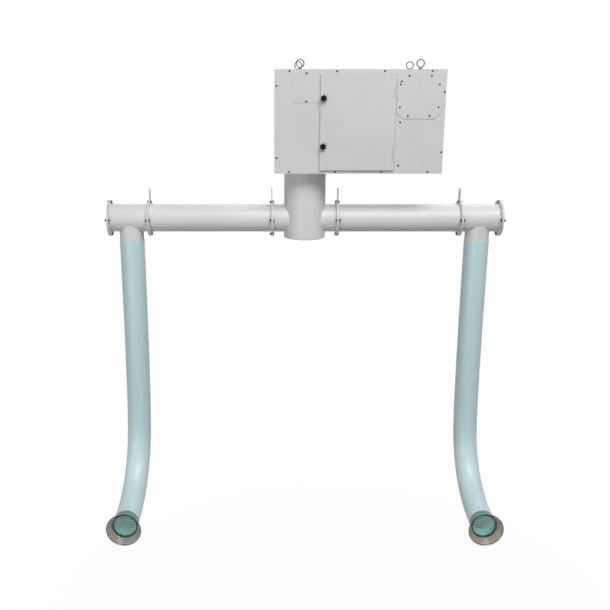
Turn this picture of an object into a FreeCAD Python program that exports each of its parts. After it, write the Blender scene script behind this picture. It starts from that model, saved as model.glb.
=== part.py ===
import FreeCAD, Part
import math
import os
import re

import Sketcher

# Ceiling mounted fume extractor: a filter and fan casing hung from four eye bolts, a duct branching
# left and right below it, and a flexible hose with a clear hood at each end.
# The origin is the middle of the four eye holes; +X is to the right, the door faces -Y, +Z is up.

DRIVING = {
    # Casing
    "casing_width": 660,
    "casing_depth": 300,
    "casing_height": 395,
    "sheet": 1.5,
    "lip": 18,
    "weld_gap": 0.5,
    # Screws of the front panel and its covers
    "screw_head_radius": 3.5,
    "screw_head_height": 2.2,
    "screw_radius": 2,
    "screw_length": 9,
    "screw_clearance": 0.1,
    "row_screw_end": 57,
    "row_screw_inset": 7,
    "left_screw_inset": 8.5,
    "left_screw_end": 61,
    "right_screw_inset": 7,
    "right_screw_end": 84,
    # Eye bolts
    "eye_rise": 22,
    "eye_inset_side": 99,
    "eye_inset_deep": 29,
    "eye_ring_radius": 16.5,
    "eye_bar_radius": 2.25,
    "eye_land_depth": 0.3,
    "eye_collar_radius": 6.5,
    "eye_collar_height": 5.5,
    "eye_neck_radius": 3.5,
    "eye_thread_radius": 4,
    "eye_thread_spare": 3,
    "eye_nut_across": 13,
    "eye_nut_height": 6.5,
    "thread_clearance": 0.05,
    # Filter door
    "door_left": 177,
    "door_to_partition": 19,
    "door_drop": 17,
    "door_rise": 14,
    "door_thickness": 6,
    "door_skin": 1.2,
    "door_seat": 2,
    "door_gasket_gap": 0.3,
    "door_gasket_inset": 19,
    "door_gasket_width": 8,
    "door_gasket_margin": 2,
    # Door hinge
    "hinge_bar_width": 6.6,
    "knuckle_length": 40,
    "knuckle_end": 67,
    "knuckle_end_clearance": 0.5,
    "knuckle_foot_width": 5,
    "hinge_pin_radius": 1.6,
    "hinge_pin_reach": 15,
    "hinge_clearance": 0.08,
    # Star knobs, their studs and the nuts they close on
    "knob_inset": 12,
    "upper_knob_end": 90,
    "lower_knob_end": 92,
    "knob_core_radius": 8.5,
    "knob_lobe_radius": 3.9,
    "knob_lobe_circle": 8.6,
    "knob_head_height": 11,
    "knob_boss_radius": 7,
    "knob_boss_height": 4,
    "knob_seat_gap": 0.3,
    "stud_radius": 3,
    "stud_grip": 9,
    "stud_reach": 4,
    "stud_running_clearance": 0.1,
    "stud_nut_clearance": 0.5,
    "rivet_nut_radius": 4.8,
    "rivet_nut_length": 12,
    "rivet_nut_flange_radius": 6,
    "rivet_nut_flange": 1,
    # Service cover and the control box behind it
    "cover_left": 72,
    "cover_to_door": 3,
    "cover_drop": 10,
    "cover_height": 114,
    "cover_screw_inset": 5,
    "cover_overlap_side": 10,
    "cover_overlap_end": 14,
    "control_box_depth": 70,
    "control_box_wall": 1.2,
    "control_box_margin": 5,
    "terminal_length": 60,
    "terminal_height": 24,
    "terminal_depth": 28,
    # Blanking plate of the front outlet port
    "plate_inset": 16.5,
    "plate_drop": 13,
    "plate_size": 171,
    "plate_corner": 22,
    "plate_thickness": 1.5,
    "plate_gasket_thickness": 1,
    "plate_screw_inset": 11,
    "plate_screw_spacing": 84.6,
    "plate_seal_width": 25.5,
    # Partition between the filters and the fan
    "partition_screw_line": 173,
    "partition_offset": 7,
    "partition_flange_margin": 8,
    "partition_screw_above": 11.2,
    "partition_screw_rise": 32,
    # Filters and the channels that hold them
    "channel_gap": 7,
    "filter_gap": 4,
    "filter_headroom": 4,
    "filter_end_gap": 8,
    "filter_frame": 14,
    "filter_recess_share": 0.12,
    "pre_filter_share": 0.116,
    "carbon_filter_share": 0.222,
    # Fan
    "fan_drop": 190,
    "fan_forward": 5,
    "scroll_radius": 110,
    "scroll_width": 70,
    "scroll_wall": 1.2,
    "scroll_outlet_height": 88,
    "scroll_inlet_gap": 4,
    "mount_height": 11.5,
    "mount_radius": 9,
    "mount_edge": 10.5,
    "inlet_ring_radius": 60,
    "inlet_ring_wall": 1.5,
    "inlet_ring_flange": 16,
    "inlet_ring_reach": 5,
    "inlet_ring_clearance": 0.5,
    "impeller_gap": 16.8,
    "impeller_end_gap": 7.8,
    "impeller_plate": 2,
    "impeller_ring_width": 20,
    "blade_count": 24,
    "blade_thickness": 1.5,
    "hub_radius": 16,
    "hub_length": 26,
    "shaft_radius": 5,
    "shaft_clearance": 0.05,
    "bracket_margin": 15,
    "bracket_thickness": 3,
    "motor_radius": 55,
    "motor_end_gap": 10.5,
    "motor_end_wall": 6,
    "shaft_end_gap": 1,
    # Exhaust grille and cable gland on the back wall
    "grille_margin_side": 13,
    "grille_margin_end": 18,
    "grille_thickness": 2,
    "grille_slot_count": 8,
    "grille_slot_height": 5,
    "grille_slot_pitch": 10,
    "grille_screw_inset": 7,
    "gland_inset": 125,
    "gland_drop": 90,
    "gland_bore_radius": 4.5,
    "gland_thread_radius": 8,
    "gland_thread_length": 9,
    "gland_body_across": 22,
    "gland_body_length": 8,
    "gland_cap_radius": 9.5,
    "gland_cap_length": 12,
    "gland_nut_across": 22,
    "gland_nut_length": 5,
    # Centre duct
    "duct_inset": 127,
    "duct_drop": 199,
    "riser_radius": 86,
    "riser_wall": 1.5,
    "riser_tail": 23,
    "collar_height": 30,
    "collar_flange": 12,
    "collar_clearance": 0.2,
    "collar_screw_count": 8,
    "collar_screw_offset": 7.2,
    "cap_rim": 6,
    "cap_round": 4,
    "cap_plug": 20,
    "cap_wall": 1.5,
    "cap_clearance": 0.1,
    # Branch ducts, their flanges, hanger lugs and bolts
    "duct_radius": 57,
    "duct_wall": 1.2,
    "stub_length": 49,
    "straight_length": 513,
    "tee_length": 166,
    "flange_width": 18,
    "flange_thickness": 3.5,
    "flange_gasket": 1.5,
    "flange_bolt_offset": 10,
    "bolt_radius": 3,
    "bolt_clearance": 0.3,
    "bolt_head_across": 10,
    "bolt_head_height": 4,
    "bolt_nut_height": 5,
    "bolt_spare": 2,
    "lug_half_width": 20,
    "lug_rise": 31,
    "lug_hole_radius": 7,
    # Hoses
    "spigot_from_joint": 80,
    "spigot_radius": 50,
    "spigot_wall": 1.5,
    "spigot_grip": 50,
    "hose_clearance": 0.3,
    "hose_wall": 1.7,
    # Hoods
    "hood_wall": 2,
    "hood_sleeve": 28,
    "hood_clearance": 0.3,
    "hood_end_gap": 0.5,
    "hood_stop": 4.5,
    "hood_length": 33,
    "hood_mouth_radius": 73.5,
    "seal_lip": 2.6,
}

# Points of the right hose's middle line: outward of its spigot, forward of the duct, below the duct's axis
HOSE_ROUTE = [
    (0, 0, 91),
    (0, 0, 450),
    (4, 0, 810),
    (10, 0, 994.5),
    (14, 29.4, 1084.9),
    (18, 85.2, 1161.8),
    (22.5, 162.1, 1217.6),
    (26, 252.5, 1247),
    (26, 340.5, 1247),
]
# Share of the shorter run at each corner of the route that is turned into an arc
CORNER_SHARE = 0.45
SIDES = {"left": -1, "right": 1}

doc = FreeCAD.newDocument("fume_extractor")
dim = doc.addObject("Spreadsheet::Sheet", "dim")
for row, (name, value) in enumerate(DRIVING.items(), start=1):
    dim.set(f"A{row}", name)
    dim.set(f"B{row}", str(value))
    dim.setAlias(f"B{row}", name)
doc.recompute()

# Planes of the casing and axes of the ducts, as expressions of the sheet's cells
LEFT = "(-casing_width / 2)"
RIGHT = "(casing_width / 2)"
FRONT = "(-casing_depth / 2)"
BACK = "(casing_depth / 2)"
TOP = "(-eye_rise)"
FLOOR = "(-eye_rise - casing_height)"
BEHIND_PANEL = f"({FRONT} + sheet)"
BEHIND_LIP = f"({FRONT} + 2 * sheet)"
DUCT_X = f"({LEFT} + duct_inset)"
DUCT_Z = f"({FLOOR} - duct_drop)"
WORD = re.compile(r"[a-z]\w*")
nodes = []


def bind(thing, prop, text):
    """Tie a property to the sheet; each cell's name in the text stands for that cell."""
    cell = lambda word: f"dim.{word[0]}" if word[0] in DRIVING else word[0]
    thing.setExpression(prop, WORD.sub(cell, str(text)))


def place(thing, x, y, z):
    for axis, text in zip("xyz", (x, y, z)):
        bind(thing, f"Placement.Base.{axis}", text)


def slab(x, y, z):
    """A block between a low and a high expression along each axis."""
    made = doc.addObject("Part::Box", "slab")
    place(made, x[0], y[0], z[0])
    for prop, (low, high) in zip(("Length", "Width", "Height"), (x, y, z)):
        bind(made, prop, f"({high}) - ({low})")
    return made


def lay(made, axis, at, span):
    """Turn a piece that stands on Z along an axis, between two expressions on it."""
    turn = {
        "X": FreeCAD.Rotation(FreeCAD.Vector(0, 1, 0), 90),
        "Y": FreeCAD.Rotation(FreeCAD.Vector(1, 0, 0), -90),
        "Z": FreeCAD.Rotation(),
    }[axis]
    made.Placement = FreeCAD.Placement(FreeCAD.Vector(), turn)
    low, high = span
    first, second = at
    place(made, *{"X": (low, first, second), "Y": (first, low, second), "Z": (first, second, low)}[axis])
    bind(made, "Height", f"({high}) - ({low})")
    return made


def rod(axis, at, span, radius):
    """A round bar along an axis; at holds its two other coordinates in X, Y, Z order."""
    made = doc.addObject("Part::Cylinder", "rod")
    bind(made, "Radius", radius)
    return lay(made, axis, at, span)


def hexagon(axis, at, span, across):
    """A hexagonal bar, measured across its flats."""
    made = doc.addObject("Part::Prism", "hexagon")
    made.Polygon = 6
    bind(made, "Circumradius", f"({across}) / 2 / cos(30)")
    return lay(made, axis, at, span)


def join(*pieces):
    made = doc.addObject("Part::MultiFuse", "join")
    made.Shapes = list(pieces)
    return made


def group(*pieces):
    made = doc.addObject("Part::Compound", "group")
    made.Links = list(pieces)
    return made


def cut(base, *tools):
    made = doc.addObject("Part::Cut", "cut")
    made.Base = base
    made.Tool = tools[0] if len(tools) == 1 else join(*tools)
    return made


def pipe(axis, at, span, outer, inner):
    return cut(rod(axis, at, span, outer), rod(axis, at, span, inner))


def outlined_body(plane, points):
    """A body and a closed sketch of straight lines in it, each corner tied to the sheet."""
    body = doc.addObject("PartDesign::Body", "body")
    sketch = body.newObject("Sketcher::SketchObject", "outline")
    origin_plane = next(f for f in body.Origin.OriginFeatures if f.Role == plane)
    sketch.AttachmentSupport = [(origin_plane, "")]
    sketch.MapMode = "FlatFace"
    count = len(points)
    turns = [2 * math.pi * i / count for i in range(count)]
    start = [FreeCAD.Vector(math.cos(turn), math.sin(turn)) for turn in turns]
    for i in range(count):
        sketch.addGeometry(Part.LineSegment(start[i], start[(i + 1) % count]))
    for i in range(count):
        sketch.addConstraint(Sketcher.Constraint("Coincident", i, 2, (i + 1) % count, 1))
    for i, corner in enumerate(points):
        for kind, text in zip(("DistanceX", "DistanceY"), corner):
            index = sketch.addConstraint(Sketcher.Constraint(kind, -1, 1, i, 1, 1.0))
            bind(sketch, f"Constraints[{index}]", text)
    return body, sketch


def extruded(plane, points, length):
    """A body padded from an outline to both sides of its plane."""
    body, sketch = outlined_body(plane, points)
    pad = body.newObject("PartDesign::Pad", "pad")
    pad.Profile = sketch
    pad.SideType = "Symmetric"
    bind(pad, "Length", length)
    return body


def turned(points):
    """A body turned about its own Y axis from an outline of radius and height."""
    body, sketch = outlined_body("XY_Plane", points)
    spin = body.newObject("PartDesign::Revolution", "spin")
    spin.Profile = sketch
    spin.ReferenceAxis = (sketch, ["V_Axis"])
    spin.Angle = 360
    return body


def keep(label, thing):
    """Name a finished sub-part, which is written to a file of that name."""
    thing.Label = label
    nodes.append(thing)
    return thing


# Places of the screws that hold the front panel, as X and Z
ROWS = [f"({third}) / 3 * (casing_width / 2 - row_screw_end)" for third in (-3, -1, 1, 3)]
panel_screw_places = [(x, f"{TOP} - row_screw_inset") for x in ROWS]
panel_screw_places += [(x, f"{FLOOR} + row_screw_inset") for x in ROWS]
SIDE_SCREWS = {
    f"{LEFT} + left_screw_inset": "left_screw_end",
    f"{RIGHT} - right_screw_inset": "right_screw_end",
}
for x, end in SIDE_SCREWS.items():
    panel_screw_places += [(x, f"{TOP} - {end}"), (x, f"{FLOOR} + {end}")]
PARTITION_X = f"({RIGHT} - partition_screw_line)"


def front_screw(place_xz, seat):
    """A pan head screw driven into the front, its head resting on the plane at seat."""
    head = rod("Y", place_xz, (f"{seat} - screw_head_height", seat), "screw_head_radius")
    shank = rod("Y", place_xz, (seat, f"{FRONT} + screw_length"), "screw_radius")
    return join(head, shank)


def front_hole(place_xz):
    """The clearance hole of such a screw through every sheet it passes."""
    span = (f"{FRONT} - plate_thickness - plate_gasket_thickness - sheet", f"{FRONT} + screw_length")
    return rod("Y", place_xz, span, "screw_radius + screw_clearance")


panel_holes = group(*[front_hole(p) for p in panel_screw_places])

# Places of the screws that hold the service cover and the outlet's blanking plate
DOOR_LEFT = f"({LEFT} + door_left)"
COVER_X = (f"({LEFT} + cover_left)", f"({DOOR_LEFT} - cover_to_door)")
COVER_Z = (f"({TOP} - cover_drop - cover_height)", f"({TOP} - cover_drop)")
COVER_MIDDLE = f"(({COVER_X[0]} + {COVER_X[1]}) / 2)"
cover_screw_places = [
    (COVER_MIDDLE, f"{COVER_Z[0]} + cover_screw_inset"),
    (COVER_MIDDLE, f"{COVER_Z[1]} - cover_screw_inset"),
]
cover_holes = group(*[front_hole(p) for p in cover_screw_places])
PLATE_AT = (f"({RIGHT} - plate_inset - plate_size / 2)", f"({TOP} - plate_drop - plate_size / 2)")
PLATE_SEAT = f"({FRONT} - plate_gasket_thickness - plate_thickness)"
near, far = "plate_screw_spacing / 2", "(plate_size / 2 - plate_screw_inset)"
plate_screw_places = [
    (f"{PLATE_AT[0]} {across} {first}", f"{PLATE_AT[1]} {up} {second}")
    for first, second in ((near, far), (far, near))
    for across in "+-"
    for up in "+-"
]
plate_holes = group(*[front_hole(p) for p in plate_screw_places])

# Places of the screws that hold the partition, the upper one clear of the blanking plate's
partition_screw_places = [
    (PARTITION_X, f"{PLATE_AT[1]} + {near} + partition_screw_above"),
    (PARTITION_X, f"({TOP} + {FLOOR}) / 2"),
    (PARTITION_X, f"{FLOOR} + partition_screw_rise"),
]
partition_holes = group(*[front_hole(p) for p in partition_screw_places])

# Casing shell: one bent sheet that makes the top, back and floor, with a return lip behind the front panel
EYE_PLACES = [
    (f"{across} * (casing_width / 2 - eye_inset_side)", f"{deep} * (casing_depth / 2 - eye_inset_deep)")
    for across in (-1, 1)
    for deep in (-1, 1)
]
FAN_Y = "(-fan_forward)"
FAN_Z = f"({TOP} - fan_drop)"
PARTITION_RIGHT = f"({PARTITION_X} + partition_offset + sheet)"
SCROLL_LEFT = f"({PARTITION_RIGHT} + mount_height)"
SCROLL_RIGHT = f"({SCROLL_LEFT} + scroll_width)"
OUTLET_HIGH = f"({FAN_Z} + scroll_radius)"
OUTLET_LOW = f"({OUTLET_HIGH} - scroll_outlet_height)"
GLAND_AT = (f"{LEFT} + gland_inset", f"{TOP} - gland_drop")
GRILLE_X = (f"({SCROLL_LEFT} - grille_margin_side)", f"({SCROLL_RIGHT} + grille_margin_side)")
GRILLE_Z = (f"({OUTLET_LOW} - grille_margin_end)", f"({OUTLET_HIGH} + grille_margin_end)")
grille_screw_places = [
    (x, z)
    for x in (f"{GRILLE_X[0]} + grille_screw_inset", f"{GRILLE_X[1]} - grille_screw_inset")
    for z in (f"{GRILLE_Z[0]} + grille_screw_inset", f"{GRILLE_Z[1]} - grille_screw_inset")
]
grille_holes = group(
    *[
        rod("Y", p, (f"{BACK} - screw_length", f"{BACK} + screw_length"), "screw_radius + screw_clearance")
        for p in grille_screw_places
    ]
)
shell = extruded(
    "YZ_Plane",
    [
        (BEHIND_PANEL, TOP),
        (BACK, TOP),
        (BACK, FLOOR),
        (BEHIND_PANEL, FLOOR),
        (BEHIND_PANEL, f"{FLOOR} + lip"),
        (BEHIND_LIP, f"{FLOOR} + lip"),
        (BEHIND_LIP, f"{FLOOR} + sheet"),
        (f"{BACK} - sheet", f"{FLOOR} + sheet"),
        (f"{BACK} - sheet", f"{TOP} - sheet"),
        (BEHIND_LIP, f"{TOP} - sheet"),
        (BEHIND_LIP, f"{TOP} - lip"),
        (BEHIND_PANEL, f"{TOP} - lip"),
    ],
    "casing_width - 2 * sheet",
)
eye_span = (f"{TOP} - lip", f"{TOP} + sheet")
eye_holes = group(*[rod("Z", at, eye_span, "eye_thread_radius + thread_clearance") for at in EYE_PLACES])
RISER_AT = (DUCT_X, "0")
riser_hole = rod("Z", RISER_AT, (f"{FLOOR} - sheet", f"{FLOOR} + lip"), "riser_radius + collar_clearance")
collar_screw_places = []
for step in range(DRIVING["collar_screw_count"]):
    turn = f"(360 / collar_screw_count * ({step} + 0.5))"
    reach = "(riser_radius + collar_screw_offset)"
    collar_screw_places.append((f"{DUCT_X} + {reach} * cos({turn})", f"{reach} * sin({turn})"))
collar_holes = group(
    *[
        rod("Z", at, (f"{FLOOR} - sheet", f"{FLOOR} + screw_length"), "screw_radius + screw_clearance")
        for at in collar_screw_places
    ]
)
exhaust_hole = slab(
    (f"{SCROLL_LEFT} + scroll_wall", f"{SCROLL_RIGHT} - scroll_wall"),
    (f"{BACK} - lip", f"{BACK} + sheet"),
    (f"{OUTLET_LOW} + scroll_wall", f"{OUTLET_HIGH} - scroll_wall"),
)
gland_span = (f"{BACK} - lip", f"{BACK} + sheet")
gland_hole = rod("Y", GLAND_AT, gland_span, "gland_thread_radius + thread_clearance")
front_cuts = group(panel_holes, cover_holes)
back_cuts = group(exhaust_hole, gland_hole, grille_holes)
keep("casing_shell", cut(shell, group(front_cuts, eye_holes, riser_hole, collar_holes, back_cuts)))


# Side panels: flat ends with welding flanges turned in behind the front panel and under the shell
def side_panel(side):
    outside = f"({side} * casing_width / 2)"

    def across(near, far):
        """The span between two depths measured inwards from the outside face."""
        span = (f"{outside} - ({side}) * ({near})", f"{outside} - ({side}) * ({far})")
        return span if side < 0 else span[::-1]

    inner_deep = (f"{BEHIND_LIP} + weld_gap", f"{BACK} - sheet - weld_gap")
    wall = slab(across("0", "sheet"), (BEHIND_PANEL, BACK), (FLOOR, TOP))
    between_lips = (f"{FLOOR} + lip + weld_gap", f"{TOP} - lip - weld_gap")
    front = slab(across("sheet", "lip"), (BEHIND_PANEL, BEHIND_LIP), between_lips)
    top = slab(across("sheet", "lip"), inner_deep, (f"{TOP} - 2 * sheet", f"{TOP} - sheet"))
    bottom = slab(across("sheet", "lip"), inner_deep, (f"{FLOOR} + sheet", f"{FLOOR} + 2 * sheet"))
    back = slab(
        across("sheet", "lip"),
        (f"{BACK} - 2 * sheet", f"{BACK} - sheet"),
        (f"{FLOOR} + sheet + lip", f"{TOP} - sheet - lip"),
    )
    return cut(join(wall, front, top, bottom, back), panel_holes)


for name, side in SIDES.items():
    keep(f"{name}_side_panel", side_panel(side))

# Filter door: a hollow leaf whose right edge is a rounded bar that turns on two pins
DOOR_RIGHT = f"({PARTITION_X} - door_to_partition)"
DOOR_TOP = f"({TOP} - door_drop)"
DOOR_BOTTOM = f"({FLOOR} + door_rise)"
DOOR_BACK = f"({FRONT} - door_seat)"
DOOR_FACE = f"({DOOR_BACK} - door_thickness)"
HINGE_X = f"({DOOR_RIGHT} - door_thickness / 2)"
HINGE_Y = f"({DOOR_BACK} - door_thickness / 2)"
HINGE_AT = (HINGE_X, HINGE_Y)
KNUCKLE_MIDDLES = [f"({DOOR_TOP} - knuckle_end)", f"({DOOR_BOTTOM} + knuckle_end)"]
KNOB_X = f"({DOOR_LEFT} + knob_inset)"
KNOBS = {"upper": f"({DOOR_TOP} - upper_knob_end)", "lower": f"({DOOR_BOTTOM} + lower_knob_end)"}
leaf = slab((DOOR_LEFT, HINGE_X), (DOOR_FACE, DOOR_BACK), (DOOR_BOTTOM, DOOR_TOP))
edge_bar = rod("Z", HINGE_AT, (DOOR_BOTTOM, DOOR_TOP), "door_thickness / 2")
hollow = slab(
    (f"{DOOR_LEFT} + door_skin", f"{DOOR_RIGHT} - hinge_bar_width - door_skin"),
    (f"{DOOR_FACE} + door_skin", f"{DOOR_BACK} - door_skin"),
    (f"{DOOR_BOTTOM} + door_skin", f"{DOOR_TOP} - door_skin"),
)
notches = [
    slab(
        (f"{DOOR_RIGHT} - hinge_bar_width", f"{DOOR_RIGHT} + sheet"),
        (f"{DOOR_FACE} - sheet", f"{DOOR_BACK} + sheet"),
        (
            f"{middle} - knuckle_length / 2 - knuckle_end_clearance",
            f"{middle} + knuckle_length / 2 + knuckle_end_clearance",
        ),
    )
    for middle in KNUCKLE_MIDDLES
]
pin_spans = [
    (f"{middle} - knuckle_length / 2 - hinge_pin_reach", f"{middle} + knuckle_length / 2 + hinge_pin_reach")
    for middle in KNUCKLE_MIDDLES
]
pin_bores = [
    rod(
        "Z",
        HINGE_AT,
        (f"{low} - knuckle_end_clearance", f"{high} + knuckle_end_clearance"),
        "hinge_pin_radius + hinge_clearance",
    )
    for low, high in pin_spans
]
stud_bores = [
    rod(
        "Y",
        (KNOB_X, z),
        (f"{DOOR_FACE} - sheet", f"{DOOR_BACK} + sheet"),
        "stud_radius + stud_running_clearance",
    )
    for z in KNOBS.values()
]
keep("filter_door", cut(join(leaf, edge_bar), hollow, *notches, *pin_bores, *stud_bores))
keep("door_hinge_pins", group(*[rod("Z", HINGE_AT, span, "hinge_pin_radius") for span in pin_spans]))


# Hinge knuckles: short barrels on a foot, fixed to the front panel in the notches of the door's edge
def knuckle(middle):
    span = (f"{middle} - knuckle_length / 2", f"{middle} + knuckle_length / 2")
    barrel = rod("Z", HINGE_AT, span, "door_thickness / 2")
    foot_x = (f"{HINGE_X} - knuckle_foot_width / 2", f"{HINGE_X} + knuckle_foot_width / 2")
    foot = slab(foot_x, (HINGE_Y, FRONT), span)
    return cut(join(barrel, foot), rod("Z", HINGE_AT, span, "hinge_pin_radius + thread_clearance"))


keep("door_hinge_knuckles", group(*[knuckle(middle) for middle in KNUCKLE_MIDDLES]))


# Door gasket: a foam frame on the front panel around the filter opening
def frame_inside_door(inset, y):
    """A block inside the door's outline, inset on all four edges."""
    x = (f"{DOOR_LEFT} + {inset}", f"{DOOR_RIGHT} - {inset}")
    return slab(x, y, (f"{DOOR_BOTTOM} + {inset}", f"{DOOR_TOP} - {inset}"))


GASKET_INNER = "(door_gasket_inset + door_gasket_width)"
OPENING_INSET = f"({GASKET_INNER} + door_gasket_margin)"
gasket_span = (f"{DOOR_BACK} + door_gasket_gap", FRONT)
keep(
    "door_gasket",
    cut(frame_inside_door("door_gasket_inset", gasket_span), frame_inside_door(GASKET_INNER, gasket_span)),
)


# Star knobs with their studs, and the rivet nuts in the front panel that the studs close on
def star_knob(z):
    at = (KNOB_X, z)
    seat = f"({DOOR_FACE} - knob_seat_gap)"
    head = (f"{seat} - knob_boss_height - knob_head_height", f"{seat} - knob_boss_height")
    pieces = [rod("Y", at, head, "knob_core_radius")]
    pieces.append(rod("Y", at, (f"{seat} - knob_boss_height", seat), "knob_boss_radius"))
    for lobe in range(6):
        turn = f"({lobe} * 60 + 30)"
        pieces.append(
            rod(
                "Y",
                (f"{KNOB_X} + knob_lobe_circle * cos({turn})", f"{z} + knob_lobe_circle * sin({turn})"),
                head,
                "knob_lobe_radius",
            )
        )
    return cut(join(*pieces), rod("Y", at, (f"{seat} - stud_grip", seat), "stud_radius"))


for name, z in KNOBS.items():
    keep(f"{name}_star_knob", star_knob(z))
    stud_span = (f"{DOOR_FACE} - knob_seat_gap - stud_grip", f"{FRONT} + stud_reach")
    keep(f"{name}_knob_stud", rod("Y", (KNOB_X, z), stud_span, "stud_radius"))


def rivet_nut(z):
    at = (KNOB_X, z)
    flange = rod("Y", at, (f"{FRONT} - rivet_nut_flange", FRONT), "rivet_nut_flange_radius")
    barrel = rod("Y", at, (FRONT, f"{FRONT} + rivet_nut_length"), "rivet_nut_radius")
    bore_span = (f"{FRONT} - rivet_nut_flange", f"{FRONT} + rivet_nut_length")
    return cut(join(flange, barrel), rod("Y", at, bore_span, "stud_radius + stud_nut_clearance"))


keep("rivet_nuts", group(*[rivet_nut(z) for z in KNOBS.values()]))

# Service cover: a thin plate over the electrical opening, held by a screw at its top and bottom
COVER_SEAT = f"({FRONT} - sheet)"
keep("service_cover", cut(slab(COVER_X, (COVER_SEAT, FRONT), COVER_Z), cover_holes))
keep("service_cover_screws", group(*[front_screw(p, COVER_SEAT) for p in cover_screw_places]))
SERVICE_X = (f"{COVER_X[0]} + cover_overlap_side", f"{COVER_X[1]} - cover_overlap_side")
SERVICE_Z = (f"{COVER_Z[0]} + cover_overlap_end", f"{COVER_Z[1]} - cover_overlap_end")
service_opening = slab(SERVICE_X, (f"{FRONT} - sheet", f"{BEHIND_PANEL} + sheet"), SERVICE_Z)

# Blanking plate of the unused front outlet: a square with its corners cut, on a gasket
HALF = "plate_size / 2"
SHORT = "(plate_size / 2 - plate_corner)"
OCTAGON = [
    (HALF, SHORT),
    (SHORT, HALF),
    (f"-{SHORT}", HALF),
    (f"-{HALF}", SHORT),
    (f"-{HALF}", f"-{SHORT}"),
    (f"-{SHORT}", f"-{HALF}"),
    (SHORT, f"-{HALF}"),
    (HALF, f"-{SHORT}"),
]


def octagon(front, thickness):
    """An eight sided sheet, its front face on the plane at front."""
    body = extruded("XZ_Plane", OCTAGON, thickness)
    place(body, PLATE_AT[0], f"{front} + {thickness} / 2", PLATE_AT[1])
    return body


port_span = (f"{PLATE_SEAT} - sheet", f"{BEHIND_PANEL} + sheet")
port_hole = rod("Y", PLATE_AT, port_span, "plate_size / 2 - plate_seal_width")
keep("outlet_plate", cut(octagon(PLATE_SEAT, "plate_thickness"), group(plate_holes, partition_holes)))
plate_gasket = octagon(f"({PLATE_SEAT} + plate_thickness)", "plate_gasket_thickness")
keep("outlet_plate_gasket", cut(plate_gasket, group(port_hole, plate_holes, partition_holes)))
keep("outlet_plate_screws", group(*[front_screw(p, PLATE_SEAT) for p in plate_screw_places]))

# Front panel: one sheet with the filter, electrical and outlet openings
filter_opening = frame_inside_door(OPENING_INSET, (f"{FRONT} - sheet", f"{BEHIND_PANEL} + sheet"))
rivet_nut_holes = [
    rod("Y", (KNOB_X, z), (f"{FRONT} - sheet", f"{FRONT} + rivet_nut_length"), "rivet_nut_radius")
    for z in KNOBS.values()
]
keep(
    "front_panel",
    cut(
        slab((LEFT, RIGHT), (FRONT, BEHIND_PANEL), (FLOOR, TOP)),
        group(
            panel_holes,
            partition_holes,
            cover_holes,
            plate_holes,
            port_hole,
            service_opening,
            filter_opening,
            *rivet_nut_holes,
        ),
    ),
)
keep("front_panel_screws", group(*[front_screw(p, FRONT) for p in panel_screw_places]))
partition_seats = zip(partition_screw_places, (PLATE_SEAT, FRONT, FRONT))
keep("partition_screws", group(*[front_screw(p, seat) for p, seat in partition_seats]))


# Eye bolts: a ring on a waisted neck and collar, its thread through the top of the casing to a nut
def eye_bolt(at):
    x, y = at
    ring = doc.addObject("Part::Torus", "ring")
    bind(ring, "Radius1", "eye_ring_radius - eye_bar_radius")
    bind(ring, "Radius2", "eye_bar_radius")
    ring.Placement = FreeCAD.Placement(FreeCAD.Vector(), FreeCAD.Rotation(FreeCAD.Vector(1, 0, 0), 90))
    place(ring, x, y, "0")
    collar = rod("Z", at, (TOP, f"{TOP} + eye_collar_height"), "eye_collar_radius")
    neck = rod("Z", at, (TOP, "-(eye_ring_radius - eye_bar_radius)"), "eye_neck_radius")
    thread_low = f"{TOP} - sheet - eye_nut_height - eye_thread_spare"
    thread = rod("Z", at, (thread_low, TOP), "eye_thread_radius")
    land = rod(
        "Y",
        (x, "0"),
        (f"{y} - eye_ring_radius", f"{y} + eye_ring_radius"),
        "eye_ring_radius - 2 * eye_bar_radius + eye_land_depth",
    )
    return cut(join(ring, collar, neck, thread), land)


def eye_nut(at):
    span = (f"{TOP} - sheet - eye_nut_height", f"{TOP} - sheet")
    bore = rod("Z", at, span, "eye_thread_radius + thread_clearance")
    return cut(hexagon("Z", at, span, "eye_nut_across"), bore)


keep("eye_bolts", group(*[eye_bolt(at) for at in EYE_PLACES]))
keep("eye_bolt_nuts", group(*[eye_nut(at) for at in EYE_PLACES]))

# Control box and terminal block behind the service cover
BOX_BACK = f"({BEHIND_PANEL} + control_box_depth)"
box_x = (f"{SERVICE_X[0]} - control_box_margin", f"{SERVICE_X[1]} + control_box_margin")
box_z = (f"{SERVICE_Z[0]} - control_box_margin", f"{SERVICE_Z[1]} + control_box_margin")
box_hollow = slab(
    (f"{box_x[0]} + control_box_wall", f"{box_x[1]} - control_box_wall"),
    (f"{BEHIND_PANEL} - sheet", f"{BOX_BACK} - control_box_wall"),
    (f"{box_z[0]} + control_box_wall", f"{box_z[1]} - control_box_wall"),
)
keep("control_box", cut(slab(box_x, (BEHIND_PANEL, BOX_BACK), box_z), box_hollow))
SERVICE_MIDDLE = f"(({SERVICE_Z[0]} + {SERVICE_Z[1]}) / 2)"
terminal_rail = f"({BOX_BACK} - control_box_wall)"
keep(
    "terminal_block",
    slab(
        (f"{COVER_MIDDLE} - terminal_length / 2", f"{COVER_MIDDLE} + terminal_length / 2"),
        (f"{terminal_rail} - terminal_depth", terminal_rail),
        (f"{SERVICE_MIDDLE} - terminal_height / 2", f"{SERVICE_MIDDLE} + terminal_height / 2"),
    ),
)

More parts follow.
